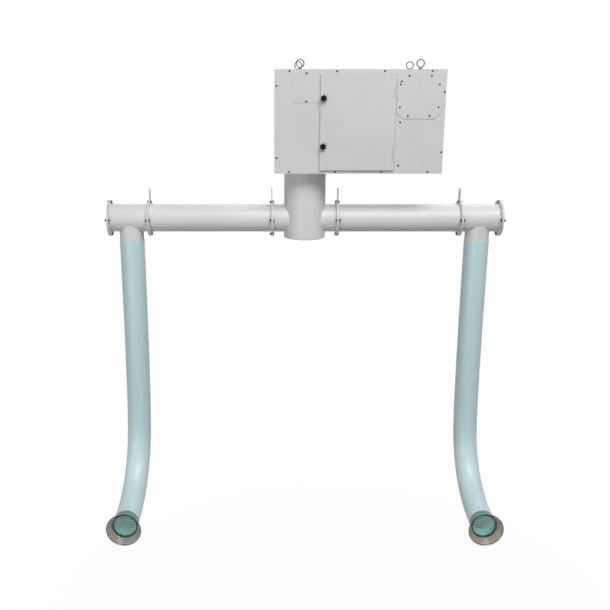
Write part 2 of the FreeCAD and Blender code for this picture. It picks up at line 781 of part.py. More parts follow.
# Cable gland in the back wall: threaded body and dome outside, lock nut inside
gland_nut = (f"{BACK} - sheet - gland_nut_length", f"{BACK} - sheet")
gland_face = f"({BACK} + gland_body_length)"
gland_thread = rod("Y", GLAND_AT, (f"{BACK} - gland_thread_length", gland_face), "gland_thread_radius")
gland_body = hexagon("Y", GLAND_AT, (BACK, gland_face), "gland_body_across")
gland_cap = rod("Y", GLAND_AT, (gland_face, f"{gland_face} + gland_cap_length"), "gland_cap_radius")
gland_bore = rod(
    "Y", GLAND_AT, (f"{BACK} - gland_thread_length", f"{gland_face} + gland_cap_length"), "gland_bore_radius"
)
keep("cable_gland", cut(join(gland_thread, gland_body, gland_cap), gland_bore))
keep(
    "cable_gland_nut",
    cut(
        hexagon("Y", GLAND_AT, gland_nut, "gland_nut_across"),
        rod("Y", GLAND_AT, gland_nut, "gland_thread_radius + thread_clearance"),
    ),
)

# Partition between the filters and the fan, flanged to the front panel
PARTITION_PLATE = f"({PARTITION_X} + partition_offset)"
partition_wall = slab(
    (PARTITION_PLATE, PARTITION_RIGHT),
    (BEHIND_LIP, f"{BACK} - sheet"),
    (f"{FLOOR} + sheet", f"{TOP} - sheet"),
)
partition_flange = slab(
    (f"{PARTITION_X} - partition_flange_margin", PARTITION_RIGHT),
    (BEHIND_PANEL, BEHIND_LIP),
    (f"{FLOOR} + lip + weld_gap", f"{TOP} - lip - weld_gap"),
)
FAN_AT = (FAN_Y, FAN_Z)
ring_hole = rod(
    "X",
    FAN_AT,
    (f"{PARTITION_PLATE} - sheet", f"{PARTITION_RIGHT} + sheet"),
    "inlet_ring_radius + inlet_ring_clearance",
)
partition_cuts = group(partition_holes, plate_holes, ring_hole)
keep("inner_partition", cut(join(partition_wall, partition_flange), partition_cuts))

# Filter channels: folded shelves above and below the filters, as deep as the casing
CHANNEL_LEFT = f"({DUCT_X} + riser_radius + collar_flange + channel_gap)"
CHANNEL = (CHANNEL_LEFT, f"({DOOR_RIGHT} - {OPENING_INSET})")
CHANNEL_Y = (BEHIND_LIP, f"{BACK} - sheet")
SHELF_LOW = f"({DOOR_BOTTOM} + {OPENING_INSET})"
SHELF_HIGH = f"({DOOR_TOP} - {OPENING_INSET})"


def channel(shelf, legs):
    """A shelf between two legs that reach the casing."""
    left_leg = slab((CHANNEL[0], f"{CHANNEL[0]} + sheet"), CHANNEL_Y, legs)
    right_leg = slab((f"{CHANNEL[1]} - sheet", CHANNEL[1]), CHANNEL_Y, legs)
    return join(slab(CHANNEL, CHANNEL_Y, shelf), left_leg, right_leg)


keep("lower_filter_channel", channel((f"{SHELF_LOW} - sheet", SHELF_LOW), (f"{FLOOR} + sheet", SHELF_LOW)))
keep("upper_filter_channel", channel((SHELF_HIGH, f"{SHELF_HIGH} + sheet"), (SHELF_HIGH, f"{TOP} - sheet")))


# Filters standing on the lower channel: pre-filter, particle filter and carbon filter
def filter_block(low, width):
    """A framed filter with its media set back on both faces."""
    y = (f"{FRONT} + filter_end_gap", f"{BACK} - filter_end_gap")
    z = (SHELF_LOW, f"{SHELF_HIGH} - filter_headroom")
    inner_y = (f"{y[0]} + filter_frame", f"{y[1]} - filter_frame")
    inner_z = (f"{z[0]} + filter_frame", f"{z[1]} - filter_frame")
    recess = f"{width} * filter_recess_share"
    inlet_face = slab((low, f"{low} + {recess}"), inner_y, inner_z)
    outlet_face = slab((f"{low} + {width} - {recess}", f"{low} + {width}"), inner_y, inner_z)
    return cut(slab((low, f"{low} + {width}"), y, z), group(inlet_face, outlet_face))


CHANNEL_WIDTH = f"({CHANNEL[1]} - {CHANNEL[0]})"
PRE_WIDTH = f"({CHANNEL_WIDTH} * pre_filter_share)"
CARBON_WIDTH = f"({CHANNEL_WIDTH} * carbon_filter_share)"
PARTICLE_WIDTH = f"({CHANNEL_WIDTH} - {PRE_WIDTH} - {CARBON_WIDTH} - 4 * filter_gap)"
keep("pre_filter", filter_block(f"({CHANNEL[0]} + filter_gap)", PRE_WIDTH))
keep("particle_filter", filter_block(f"({CHANNEL[0]} + 2 * filter_gap + {PRE_WIDTH})", PARTICLE_WIDTH))
keep("carbon_filter", filter_block(f"({CHANNEL[1]} - filter_gap - {CARBON_WIDTH})", CARBON_WIDTH))

# Fan: scroll on rubber mounts, inlet ring, impeller and shaft, motor on its bracket
SCROLL = (SCROLL_LEFT, SCROLL_RIGHT)
SCROLL_INSIDE = (f"{SCROLL_LEFT} + scroll_wall", f"{SCROLL_RIGHT} - scroll_wall")
scroll_outside = join(
    rod("X", FAN_AT, SCROLL, "scroll_radius"),
    slab(SCROLL, (FAN_Y, f"{BACK} - sheet"), (OUTLET_LOW, OUTLET_HIGH)),
)
scroll_inside = join(
    rod("X", FAN_AT, SCROLL_INSIDE, "scroll_radius - scroll_wall"),
    slab(SCROLL_INSIDE, (FAN_Y, BACK), (f"{OUTLET_LOW} + scroll_wall", f"{OUTLET_HIGH} - scroll_wall")),
)
inlet_span = (f"{SCROLL_LEFT} - sheet", f"{SCROLL_LEFT} + lip")
scroll_inlet = rod("X", FAN_AT, inlet_span, "inlet_ring_radius + scroll_inlet_gap")
scroll_back_hole = rod("X", FAN_AT, (f"{SCROLL_RIGHT} - lip", f"{SCROLL_RIGHT} + sheet"), "hub_radius")
keep("fan_scroll", cut(scroll_outside, scroll_inside, scroll_inlet, scroll_back_hole))
mount_step = "(scroll_radius - mount_radius - mount_edge) * cos(45)"
mount_places = [
    (f"{FAN_Y} {across} {mount_step}", f"{FAN_Z} {up} {mount_step}") for across in "+-" for up in "+-"
]
mount_span = (PARTITION_RIGHT, SCROLL_LEFT)
keep("fan_rubber_mounts", group(*[rod("X", at, mount_span, "mount_radius") for at in mount_places]))
ring_tube_span = (PARTITION_PLATE, f"{SCROLL_LEFT} + scroll_wall + inlet_ring_reach")
ring_flange_span = (f"{PARTITION_PLATE} - inlet_ring_wall", PARTITION_PLATE)
keep(
    "fan_inlet_ring",
    cut(
        join(
            rod("X", FAN_AT, ring_tube_span, "inlet_ring_radius"),
            rod("X", FAN_AT, ring_flange_span, "inlet_ring_radius + inlet_ring_flange"),
        ),
        rod("X", FAN_AT, (ring_flange_span[0], ring_tube_span[1]), "inlet_ring_radius - inlet_ring_wall"),
    ),
)
WHEEL_BACK = f"({SCROLL_RIGHT} - scroll_wall - impeller_end_gap)"
WHEEL_FRONT = f"({SCROLL_LEFT} + scroll_wall + impeller_end_gap)"
WHEEL_RADIUS = "(scroll_radius - scroll_wall - impeller_gap)"
RING_INNER = f"({WHEEL_RADIUS} - impeller_ring_width)"
back_plate = rod("X", FAN_AT, (f"{WHEEL_BACK} - impeller_plate", WHEEL_BACK), WHEEL_RADIUS)
front_ring = pipe("X", FAN_AT, (WHEEL_FRONT, f"{WHEEL_FRONT} + impeller_plate"), WHEEL_RADIUS, RING_INNER)
hub = rod("X", FAN_AT, (f"{WHEEL_BACK} - hub_length", WHEEL_BACK), "hub_radius")


def blade(step):
    """One straight blade between the front ring and the back plate, turned about the fan's axis."""
    made = doc.addObject("Part::Box", "blade")
    bind(made, "Length", f"{WHEEL_BACK} - {WHEEL_FRONT}")
    bind(made, "Width", "blade_thickness")
    bind(made, "Height", "impeller_ring_width - impeller_plate")
    angle = f"({step} * 360 / blade_count)"
    bind(made, "Placement.Rotation.Angle", f"{angle} * 1 deg")
    made.Placement.Rotation.Axis = FreeCAD.Vector(1, 0, 0)
    root = (f"{FAN_Y} - {RING_INNER} * sin({angle})", f"{FAN_Z} + {RING_INNER} * cos({angle})")
    place(made, WHEEL_FRONT, *root)
    return made


MOTOR_END = f"({RIGHT} - sheet - motor_end_gap)"
SHAFT_END = f"({MOTOR_END} - motor_end_wall - shaft_end_gap)"
shaft_span = (f"{WHEEL_BACK} - hub_length", SHAFT_END)
wheel = join(back_plate, front_ring, hub, *[blade(step) for step in range(DRIVING["blade_count"])])
keep("fan_impeller", cut(wheel, rod("X", FAN_AT, shaft_span, "shaft_radius")))
keep("motor_shaft", rod("X", FAN_AT, shaft_span, "shaft_radius"))
BRACKET = (SCROLL_RIGHT, f"({SCROLL_RIGHT} + bracket_thickness)")
keep("motor_bracket", pipe("X", FAN_AT, BRACKET, "motor_radius + bracket_margin", "hub_radius"))
MOTOR = (BRACKET[1], MOTOR_END)
keep(
    "fan_motor",
    cut(
        rod("X", FAN_AT, MOTOR, "motor_radius"),
        rod("X", FAN_AT, (MOTOR[0], f"{MOTOR[1]} - motor_end_wall"), "shaft_radius + shaft_clearance"),
    ),
)

# Exhaust grille on the back wall over the fan's outlet
GRILLE_FACE = f"({BACK} + grille_thickness)"
slots = []
for step in range(DRIVING["grille_slot_count"]):
    from_middle = f"({step} - (grille_slot_count - 1) / 2) * grille_slot_pitch"
    middle = f"(({GRILLE_Z[0]} + {GRILLE_Z[1]}) / 2 + {from_middle})"
    slots.append(
        slab(
            (f"{SCROLL_LEFT} + 2 * scroll_wall", f"{SCROLL_RIGHT} - 2 * scroll_wall"),
            (f"{BACK} - sheet", f"{GRILLE_FACE} + sheet"),
            (f"{middle} - grille_slot_height / 2", f"{middle} + grille_slot_height / 2"),
        )
    )
keep("exhaust_grille", cut(slab(GRILLE_X, (BACK, GRILLE_FACE), GRILLE_Z), group(grille_holes, *slots)))


def grille_screw(at):
    head = rod("Y", at, (GRILLE_FACE, f"{GRILLE_FACE} + screw_head_height"), "screw_head_radius")
    return join(head, rod("Y", at, (f"{BACK} - screw_length", GRILLE_FACE), "screw_radius"))


keep("exhaust_grille_screws", group(*[grille_screw(at) for at in grille_screw_places]))

# Inlet collar inside the casing that carries the centre duct, with its screws
COLLAR_SEAT = f"({FLOOR} + sheet)"
COLLAR_TOP = f"({COLLAR_SEAT} + collar_height)"
collar_bore = "riser_radius + collar_clearance"
collar = join(
    rod("Z", RISER_AT, (COLLAR_SEAT, f"{COLLAR_SEAT} + sheet"), "riser_radius + collar_flange"),
    rod("Z", RISER_AT, (COLLAR_SEAT, COLLAR_TOP), f"{collar_bore} + sheet"),
)
collar_way = rod("Z", RISER_AT, (COLLAR_SEAT, COLLAR_TOP), collar_bore)
keep("inlet_collar", cut(collar, group(collar_way, collar_holes)))


def collar_screw(at):
    seat = f"({COLLAR_SEAT} + sheet)"
    head = rod("Z", at, (seat, f"{seat} + screw_head_height"), "screw_head_radius")
    return join(head, rod("Z", at, (f"{FLOOR} - sheet", seat), "screw_radius"))


keep("inlet_collar_screws", group(*[collar_screw(at) for at in collar_screw_places]))

# Flanged branch ducts: each joint has two flanges, a gasket and four bolts
AXIS_AT = ("0", DUCT_Z)
HALF_GASKET = "flange_gasket / 2"
BORE = "(duct_radius - duct_wall)"
FLANGE = "(duct_radius + flange_width)"
LUG_HEIGHT = f"({DUCT_Z} + {FLANGE} + lug_rise)"
MID_JOINT = "(riser_radius + stub_length)"
OUTER_JOINT = f"({MID_JOINT} + straight_length)"
END_JOINT = f"({OUTER_JOINT} + tee_length)"
SPIGOT = f"({OUTER_JOINT} + spigot_from_joint)"
BOLT_REACH = "(duct_radius + flange_bolt_offset)"
BOLT_PLACES = [
    ("0", f"{DUCT_Z} + {BOLT_REACH}"),
    ("0", f"{DUCT_Z} - {BOLT_REACH}"),
    (BOLT_REACH, DUCT_Z),
    (f"-{BOLT_REACH}", DUCT_Z),
]


def outward(side, near, far):
    """The span along X between two distances from the centre duct, on one side of it."""
    span = (f"{DUCT_X} + {side} * ({near})", f"{DUCT_X} + {side} * ({far})")
    return span if side > 0 else span[::-1]


def flange(side, near, far):
    return rod("X", AXIS_AT, outward(side, near, far), FLANGE)


def bolt_holes(side, joint):
    reach = "(flange_thickness + flange_gasket)"
    span = outward(side, f"{joint} - {reach}", f"{joint} + {reach}")
    return group(*[rod("X", at, span, "bolt_radius + bolt_clearance") for at in BOLT_PLACES])


def inner_flange(joint):
    """The two faces of the flange on the centre's side of a joint."""
    return f"{joint} - {HALF_GASKET} - flange_thickness", f"{joint} - {HALF_GASKET}"


def outer_flange(joint):
    return f"{joint} + {HALF_GASKET}", f"{joint} + {HALF_GASKET} + flange_thickness"


def lug(side, faces):
    """A rounded hanger lug with a hole, welded on the rim of a flange."""
    span = outward(side, *faces)
    stem = slab(span, ("-lug_half_width", "lug_half_width"), (DUCT_Z, LUG_HEIGHT))
    plate = join(stem, rod("X", ("0", LUG_HEIGHT), span, "lug_half_width"))
    return cut(plate, flange(side, *faces), rod("X", ("0", LUG_HEIGHT), span, "lug_hole_radius"))


# Centre duct: the riser from the casing, with a flanged stub to each side
RISER_LOW = f"({DUCT_Z} - duct_radius - riser_tail)"
CAP_SEAT = f"({RISER_LOW} + cap_rim)"
STUB = (f"{DUCT_X} - ({MID_JOINT} - {HALF_GASKET})", f"{DUCT_X} + ({MID_JOINT} - {HALF_GASKET})")
riser_solid = join(
    rod("Z", RISER_AT, (CAP_SEAT, COLLAR_TOP), "riser_radius"),
    rod("X", AXIS_AT, STUB, "duct_radius"),
    *[flange(side, *inner_flange(MID_JOINT)) for side in SIDES.values()],
)
riser_bores = [
    rod("Z", RISER_AT, (CAP_SEAT, COLLAR_TOP), "riser_radius - riser_wall"),
    rod("X", AXIS_AT, STUB, BORE),
    *[bolt_holes(side, MID_JOINT) for side in SIDES.values()],
]
keep("centre_duct", cut(riser_solid, *riser_bores))

# End cap that plugs the riser's lower end, its rim rounded
plug_radius = "(riser_radius - riser_wall - cap_clearance)"
end_cap = turned(
    [
        ("0", "0"),
        ("riser_radius", "0"),
        ("riser_radius", "cap_rim"),
        (plug_radius, "cap_rim"),
        (plug_radius, "cap_rim + cap_plug"),
        (f"{plug_radius} - cap_wall", "cap_rim + cap_plug"),
        (f"{plug_radius} - cap_wall", "cap_wall"),
        ("0", "cap_wall"),
    ]
)
doc.recompute()
spun = end_cap.Tip
rim_edges = [
    f"Edge{i}"
    for i, edge in enumerate(spun.Shape.Edges, start=1)
    if edge.BoundBox.YMax < 0.01 and edge.BoundBox.XMax > DRIVING["riser_radius"] / 2 and edge.Closed
]
rounding = end_cap.newObject("PartDesign::Fillet", "rounding")
rounding.Base = (spun, rim_edges)
bind(rounding, "Radius", "cap_round")
end_cap.Placement = FreeCAD.Placement(FreeCAD.Vector(), FreeCAD.Rotation(FreeCAD.Vector(1, 0, 0), 90))
place(end_cap, DUCT_X, "0", RISER_LOW)
keep("centre_duct_end_cap", end_cap)


# Straight ducts, end tees with a spigot, blind flanges, and a lug on each flange of the straight ducts
HOSE_TOP = HOSE_ROUTE[0][2]


def straight_duct(side):
    near, far = outer_flange(MID_JOINT), inner_flange(OUTER_JOINT)
    tube_span = outward(side, near[0], far[1])
    body = join(rod("X", AXIS_AT, tube_span, "duct_radius"), flange(side, *near), flange(side, *far))
    holes = group(bolt_holes(side, MID_JOINT), bolt_holes(side, OUTER_JOINT))
    return cut(body, rod("X", AXIS_AT, tube_span, BORE), holes)


def end_tee(side):
    near, far = outer_flange(OUTER_JOINT), inner_flange(END_JOINT)
    tube_span = outward(side, near[0], far[1])
    spigot_at = (f"{DUCT_X} + {side} * {SPIGOT}", "0")
    spigot_span = (f"{DUCT_Z} - {HOSE_TOP} - spigot_grip", DUCT_Z)
    body = join(
        rod("X", AXIS_AT, tube_span, "duct_radius"),
        flange(side, *near),
        flange(side, *far),
        rod("Z", spigot_at, spigot_span, "spigot_radius"),
    )
    return cut(
        body,
        rod("X", AXIS_AT, tube_span, BORE),
        rod("Z", spigot_at, spigot_span, "spigot_radius - spigot_wall"),
        bolt_holes(side, OUTER_JOINT),
        bolt_holes(side, END_JOINT),
    )


for name, side in SIDES.items():
    keep(f"{name}_duct", straight_duct(side))
    keep(f"{name}_end_tee", end_tee(side))
blind_flanges = [
    cut(flange(side, *outer_flange(END_JOINT)), bolt_holes(side, END_JOINT)) for side in SIDES.values()
]
keep("blind_flanges", group(*blind_flanges))
LUG_FLANGES = (outer_flange(MID_JOINT), inner_flange(OUTER_JOINT))
lugs = [lug(side, faces) for side in SIDES.values() for faces in LUG_FLANGES]
keep("hanger_lugs", group(*lugs))

JOINTS = [(side, joint) for side in SIDES.values() for joint in (MID_JOINT, OUTER_JOINT, END_JOINT)]


def joint_gasket(side, joint):
    span = outward(side, f"{joint} - {HALF_GASKET}", f"{joint} + {HALF_GASKET}")
    return cut(pipe("X", AXIS_AT, span, FLANGE, BORE), bolt_holes(side, joint))


GRIP = "(flange_thickness + flange_gasket / 2)"


def flange_bolt(side, joint, at):
    head_span = outward(side, f"{joint} - {GRIP} - bolt_head_height", f"{joint} - {GRIP}")
    shank_span = outward(side, f"{joint} - {GRIP}", f"{joint} + {GRIP} + bolt_nut_height + bolt_spare")
    head = hexagon("X", at, head_span, "bolt_head_across")
    return join(head, rod("X", at, shank_span, "bolt_radius"))


def flange_nut(side, joint, at):
    span = outward(side, f"{joint} + {GRIP}", f"{joint} + {GRIP} + bolt_nut_height")
    bore = rod("X", at, span, "bolt_radius + thread_clearance")
    return cut(hexagon("X", at, span, "bolt_head_across"), bore)


keep("flange_gaskets", group(*[joint_gasket(*joint) for joint in JOINTS]))
keep("flange_bolts", group(*[flange_bolt(*joint, at) for joint in JOINTS for at in BOLT_PLACES]))
keep("flange_nuts", group(*[flange_nut(*joint, at) for joint in JOINTS for at in BOLT_PLACES]))

# Hoods: a sleeve over the hose's end, a stop, and a clear bell; a seal ring lines the throat
HOSE_BORE = "(spigot_radius + hose_clearance)"
HOSE_OUTSIDE = f"({HOSE_BORE} + hose_wall)"
SLEEVE = f"({HOSE_OUTSIDE} + hood_clearance)"
STOP_FACE = "-hood_end_gap"
THROAT = "(-hood_end_gap - hood_stop)"
MOUTH = f"({THROAT} - hood_length)"
STOP_BORE = f"({HOSE_BORE} - hood_end_gap)"
HOOD_OUTLINE = [
    (SLEEVE, "hood_sleeve"),
    (f"{SLEEVE} + hood_wall", "hood_sleeve"),
    (f"{SLEEVE} + hood_wall", THROAT),
    ("hood_mouth_radius", MOUTH),
    ("hood_mouth_radius - hood_wall", MOUTH),
    (SLEEVE, THROAT),
    (STOP_BORE, THROAT),
    (STOP_BORE, STOP_FACE),
    (SLEEVE, STOP_FACE),
]
SEAL_OUTLINE = [
    (STOP_BORE, STOP_FACE),
    (f"{STOP_BORE} - seal_lip", STOP_FACE),
    (f"{STOP_BORE} - seal_lip", THROAT),
    (STOP_BORE, THROAT),
]
route_out, route_forward, route_down = HOSE_ROUTE[-1]
for name, side in SIDES.items():
    end_x = f"{DUCT_X} + {side} * ({SPIGOT} + {route_out})"
    hose_end = (end_x, -route_forward, f"{DUCT_Z} - {route_down}")
    for node, outline in (("hood", HOOD_OUTLINE), ("hood_seal", SEAL_OUTLINE)):
        body = turned(outline)
        place(body, *hose_end)
        keep(f"{name}_{node}", body)


# Hoses: a tube swept along straight runs joined by tangent arcs
def rounded_path(points):
    """The path along the points with each corner rounded, and the corners' radii."""
    edges, radii = [], []
    start = points[0]
    for before, corner, after in zip(points, points[1:], points[2:]):
        back, ahead = before - corner, after - corner
        half_turn = (math.pi - back.getAngle(ahead)) / 2
        trim = CORNER_SHARE * min(back.Length, ahead.Length)
        radii.append(trim / math.tan(half_turn))
        back.normalize()
        ahead.normalize()
        enter, leave = corner + back * trim, corner + ahead * trim
        inward = (back + ahead).normalize()
        depth = radii[-1] / math.cos(half_turn) - radii[-1]
        edges.append(Part.LineSegment(start, enter).toShape())
        edges.append(Part.Arc(enter, corner + inward * depth, leave).toShape())
        start = leave
    edges.append(Part.LineSegment(start, points[-1]).toShape())
    return Part.Wire(edges), radii


def hose(name, side):
    bore = dim.spigot_radius + dim.hose_clearance
    outside = bore + dim.hose_wall
    points = [FreeCAD.Vector(side * out, -forward, -down) for out, forward, down in HOSE_ROUTE]
    wire, radii = rounded_path(points)
    along = points[1] - points[0]
    rims = [Part.Wire(Part.Circle(points[0], along, radius).toShape()) for radius in (outside, bore)]
    outer, inner = (wire.makePipeShell([rim], True, False) for rim in rims)
    made = doc.addObject("Part::Feature", f"{name}_hose")
    made.Shape = outer.cut(inner)
    place(made, f"{DUCT_X} + {side} * {SPIGOT}", "0", DUCT_Z)
    section = math.pi * (outside**2 - bore**2)
    print(f"{name}_hose length {wire.Length:.1f} mm, radii", [round(r) for r in radii])
    print(f"{name}_hose volume {made.Shape.Volume:.0f}, section times length {section * wire.Length:.0f}")
    return made


for name, side in SIDES.items():
    keep(f"{name}_hose", hose(name, side))

doc.recompute()
failed = [thing.Label for thing in doc.Objects if "Invalid" in thing.State or "Error" in thing.State]
if failed:
    raise RuntimeError(f"these objects failed: {failed}")
for node in nodes:
    if node.Shape.isNull() or not node.Shape.isValid() or not node.Shape.Solids:
        raise RuntimeError(f"{node.Label} has no valid shape")

os.makedirs("parts", exist_ok=True)
for node in nodes:
    node.Shape.exportStep(f"parts/{node.Label}.step")
    print(f"{node.Label}: {len(node.Shape.Solids)} solids, {node.Shape.Volume / 1000:.1f} cm3")
print(len(nodes), "nodes")
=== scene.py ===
import math

import bmesh
import bpy
from mathutils import Matrix, Vector


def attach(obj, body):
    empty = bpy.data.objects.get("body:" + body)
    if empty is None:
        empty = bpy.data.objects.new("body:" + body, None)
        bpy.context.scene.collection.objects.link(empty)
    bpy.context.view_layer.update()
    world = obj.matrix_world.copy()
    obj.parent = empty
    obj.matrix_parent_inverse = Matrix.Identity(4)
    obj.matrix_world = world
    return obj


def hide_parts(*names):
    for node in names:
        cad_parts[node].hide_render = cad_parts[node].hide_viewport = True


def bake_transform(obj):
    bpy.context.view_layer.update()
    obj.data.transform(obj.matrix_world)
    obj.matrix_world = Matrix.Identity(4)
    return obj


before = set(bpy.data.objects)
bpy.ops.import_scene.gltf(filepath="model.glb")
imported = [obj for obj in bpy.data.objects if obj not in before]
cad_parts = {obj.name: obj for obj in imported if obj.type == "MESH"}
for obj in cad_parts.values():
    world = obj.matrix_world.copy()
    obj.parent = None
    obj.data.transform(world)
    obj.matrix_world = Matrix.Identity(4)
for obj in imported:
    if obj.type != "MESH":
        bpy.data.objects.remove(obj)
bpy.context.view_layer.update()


# Casing: the bent shell, its two ends and the front sheet, which make a closed box under the ceiling.
# Thin steel with a light grey powder coat. The sheets are folded on a press and screwed together, so each
# edge has a small bend radius.
class Value:
    """A value that changes over a surface: a node's socket, with the sums its finish can do on it."""

    def __init__(self, finish, socket):
        self.finish = finish
        self.socket = socket

    def __add__(self, other):
        return self.finish.sum("ADD", self, other)

    __radd__ = __add__

    def __mul__(self, other):
        return self.finish.sum("MULTIPLY", self, other)

    __rmul__ = __mul__

    def __rsub__(self, other):
        return self.finish.sum("SUBTRACT", other, self)


class Finish:
    """The nodes that make a material or the surroundings."""

    def __init__(self, owner):
        owner.use_nodes = True
        self.owner = owner
        self.tree = owner.node_tree
        self.tree.nodes.clear()

    def node(self, kind, settings=None, inputs=None, output=0):
        made = self.tree.nodes.new(kind)
        for name, value in (settings or {}).items():
            setattr(made, name, value)
        for name, value in (inputs or {}).items():
            if isinstance(value, Value):
                self.tree.links.new(value.socket, made.inputs[name])
            else:
                made.inputs[name].default_value = value
        return Value(self, made.outputs[output]) if made.outputs else None

    def sum(self, operation, first, second):
        return self.node("ShaderNodeMath", {"operation": operation}, {0: first, 1: second})

    def place(self, stretch=(1.0, 1.0, 1.0)):
        """The place on the piece, drawn out along its axes for a grain or a brushed line."""
        where = self.node("ShaderNodeTexCoord", output="Object")
        return self.node("ShaderNodeVectorMath", {"operation": "MULTIPLY"}, {0: where, 1: stretch})

    def noise(self, where, scale, detail=2.0):
        return self.node("ShaderNodeTexNoise", None, {"Vector": where, "Scale": scale, "Detail": detail})

    def attribute(self, name):
        return self.node("ShaderNodeAttribute", {"attribute_name": name}, output="Fac")

    def between(self, amount, first, second):
        """A colour that goes from the first to the second as amount goes from 0 to 1."""
        ends = [colour if isinstance(colour, Value) else (*colour, 1.0) for colour in (first, second)]
        sockets = {0: amount, 6: ends[0], 7: ends[1]}
        return self.node("ShaderNodeMix", {"data_type": "RGBA"}, sockets, output=2)

    def ease(self, amount, low, high):
        """0 below low, 1 above high and smooth between them."""
        ends = {"Value": amount, "From Min": low, "From Max": high}
        return self.node("ShaderNodeMapRange", {"interpolation_type": "SMOOTHSTEP"}, ends)

    def varied(self, where, scale, least, spread):
        """A value that varies over a piece by a spread above its least."""
        return self.noise(where, scale) * spread + least

    def bump(self, height, depth):
        return self.node("ShaderNodeBump", None, {"Height": height, "Distance": depth})

    def surface(self, **sockets):
        inputs = {}
        for name, value in sockets.items():
            inputs[name.replace("_", " ").title().replace("Ior", "IOR")] = value
        shader = self.node("ShaderNodeBsdfPrincipled", None, inputs)
        self.node("ShaderNodeOutputMaterial", None, {"Surface": shader})
        return self.owner


def shade(red, green, blue):
    """A colour as a display shows it, from 0 to 255, as the linear numbers that a material takes."""
    parts = [part / 255 for part in (red, green, blue)]
    return tuple(part / 12.92 if part < 0.04045 else ((part + 0.055) / 1.055) ** 2.4 for part in parts)


def mottled(name, tones, patches, gloss, grain=None, soft=None, stretch=(1.0, 1.0, 1.0), **sockets):
    """A finish in two close tones, with an uneven gloss and a fine relief.

    patches is the scale and the detail of the change of tone, and soft the part of it that changes.
    gloss is the scale, the least and the spread of the roughness.
    grain is the scale and the depth of the relief.
    """
    finish = Finish(bpy.data.materials.new(name))
    place = finish.place(stretch)
    tone = finish.noise(place, *patches)
    sockets["base_color"] = finish.between(finish.ease(tone, *soft) if soft else tone, *tones)
    sockets["roughness"] = finish.varied(place, *gloss)
    if grain:
        scale, depth = grain
        sockets["normal"] = finish.bump(finish.noise(place, scale), depth)
    return finish.surface(**sockets)


def powder_coat(name, colour, cloudy):
    """A baked coat: a fine orange peel, faint cloudiness and a slightly uneven gloss."""
    return mottled(
        name,
        (colour, cloudy),
        patches=(5.0, 3.0),
        gloss=(38.0, 0.36, 0.12),
        grain=(620.0, 0.00006),
        soft=(0.35, 0.65),
    )


def put(name, shape, material, body, slot, *nodes):
    """Make a bmesh an object that rides on a body and stands for CAD nodes."""
    mesh = bpy.data.meshes.new(name)
    shape.to_mesh(mesh)
    shape.free()
    mesh.materials.append(material)
    piece = bpy.data.objects.new(name, mesh)
    bpy.context.scene.collection.objects.link(piece)
    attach(piece, body)
    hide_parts(*nodes)
    return piece


JOIN_WITHIN = 1e-6
FLAT_ANGLE = math.radians(0.2)
EDGE_ANGLE = math.radians(35.0)
CRISP_ANGLE = math.radians(50.0)


def shade_smooth(shape, crisp=CRISP_ANGLE):
    """Smooth shading, with every edge sharper than an angle left crisp."""
    for face in shape.faces:
        face.smooth = True
    for edge in shape.edges:
        edge.smooth = len(edge.link_faces) == 2 and edge.calc_face_angle() < crisp


def joined_up(node):
    """A copy of a node's shape with its loose triangles joined up."""
    shape = bmesh.new()
    shape.from_mesh(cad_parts[node].data)
    bmesh.ops.remove_doubles(shape, verts=shape.verts[:], dist=JOIN_WITHIN)
    return shape


def eased(node, radius):
    """A copy of a node's shape with each sharp edge given a small bend radius."""
    shape = joined_up(node)
    bmesh.ops.dissolve_limit(
        shape,
        angle_limit=FLAT_ANGLE,
        verts=shape.verts[:],
        edges=shape.edges[:],
        use_dissolve_boundaries=False,
    )
    sharp = [e for e in shape.edges if len(e.link_faces) == 2 and e.calc_face_angle() > EDGE_ANGLE]
    bmesh.ops.bevel(
        shape,
        geom=sharp,
        offset=radius,
        offset_type="OFFSET",
        segments=2,
        profile=0.5,
        affect="EDGES",
        clamp_overlap=True,
        material=-1,
    )
    shade_smooth(shape)
    return shape


def dress(nodes, material, body, slot, radius):
    """Show nodes with eased edges and a finish."""
    for node in nodes:
        piece = put(f"{node}_finished", eased(node, radius), material, body, slot, node)
        flat = piece.modifiers.new("flat faces", "WEIGHTED_NORMAL")
        flat.keep_sharp = True


CASING_BEND = 0.0005
casing_coat = powder_coat("grey powder coat", shade(205, 205, 205), shade(201, 201, 202))
casing_sheets = ["casing_shell", "left_side_panel", "right_side_panel", "front_panel"]
dress(casing_sheets, casing_coat, "unit", "casing_paint", CASING_BEND)

# Eye bolts: four forged steel rings on a collar and a threaded stem, which hang the unit from the ceiling.
# Zinc plated and left bare. Each stem passes the casing's top and is held by a hexagon nut below it.
EYE_PLACES = [(x, y) for x in (-0.231, 0.231) for y in (-0.121, 0.121)]
EYE_RING = 0.01425
EYE_BAR = 0.0022
EYE_BAR_SIDES = 16
EYE_RING_SIDES = 48
EYE_STEM_SIDES = 32
EYE_STEM = [
    (0.0, -0.0330),
    (0.0034, -0.0330),
    (0.0040, -0.0324),
    (0.0040, -0.0220),
    (0.0060, -0.0220),
    (0.0065, -0.0215),
    (0.0065, -0.0171),
    (0.0058, -0.0165),
    (0.0038, -0.0161),
    (0.0033, -0.0152),
    (0.0030, -0.0138),
    (0.0, -0.0136),
]
STEEL_EDGE = 0.0004
POLE_JOIN = 1e-7
bright_steel = mottled(
    "plated steel",
    (shade(82, 82, 80), shade(118, 118, 116)),
    patches=(130.0, 4.0),
    gloss=(420.0, 0.18, 0.2),
    grain=(900.0, 0.00005),
    soft=(0.3, 0.7),
    metallic=1.0,
)


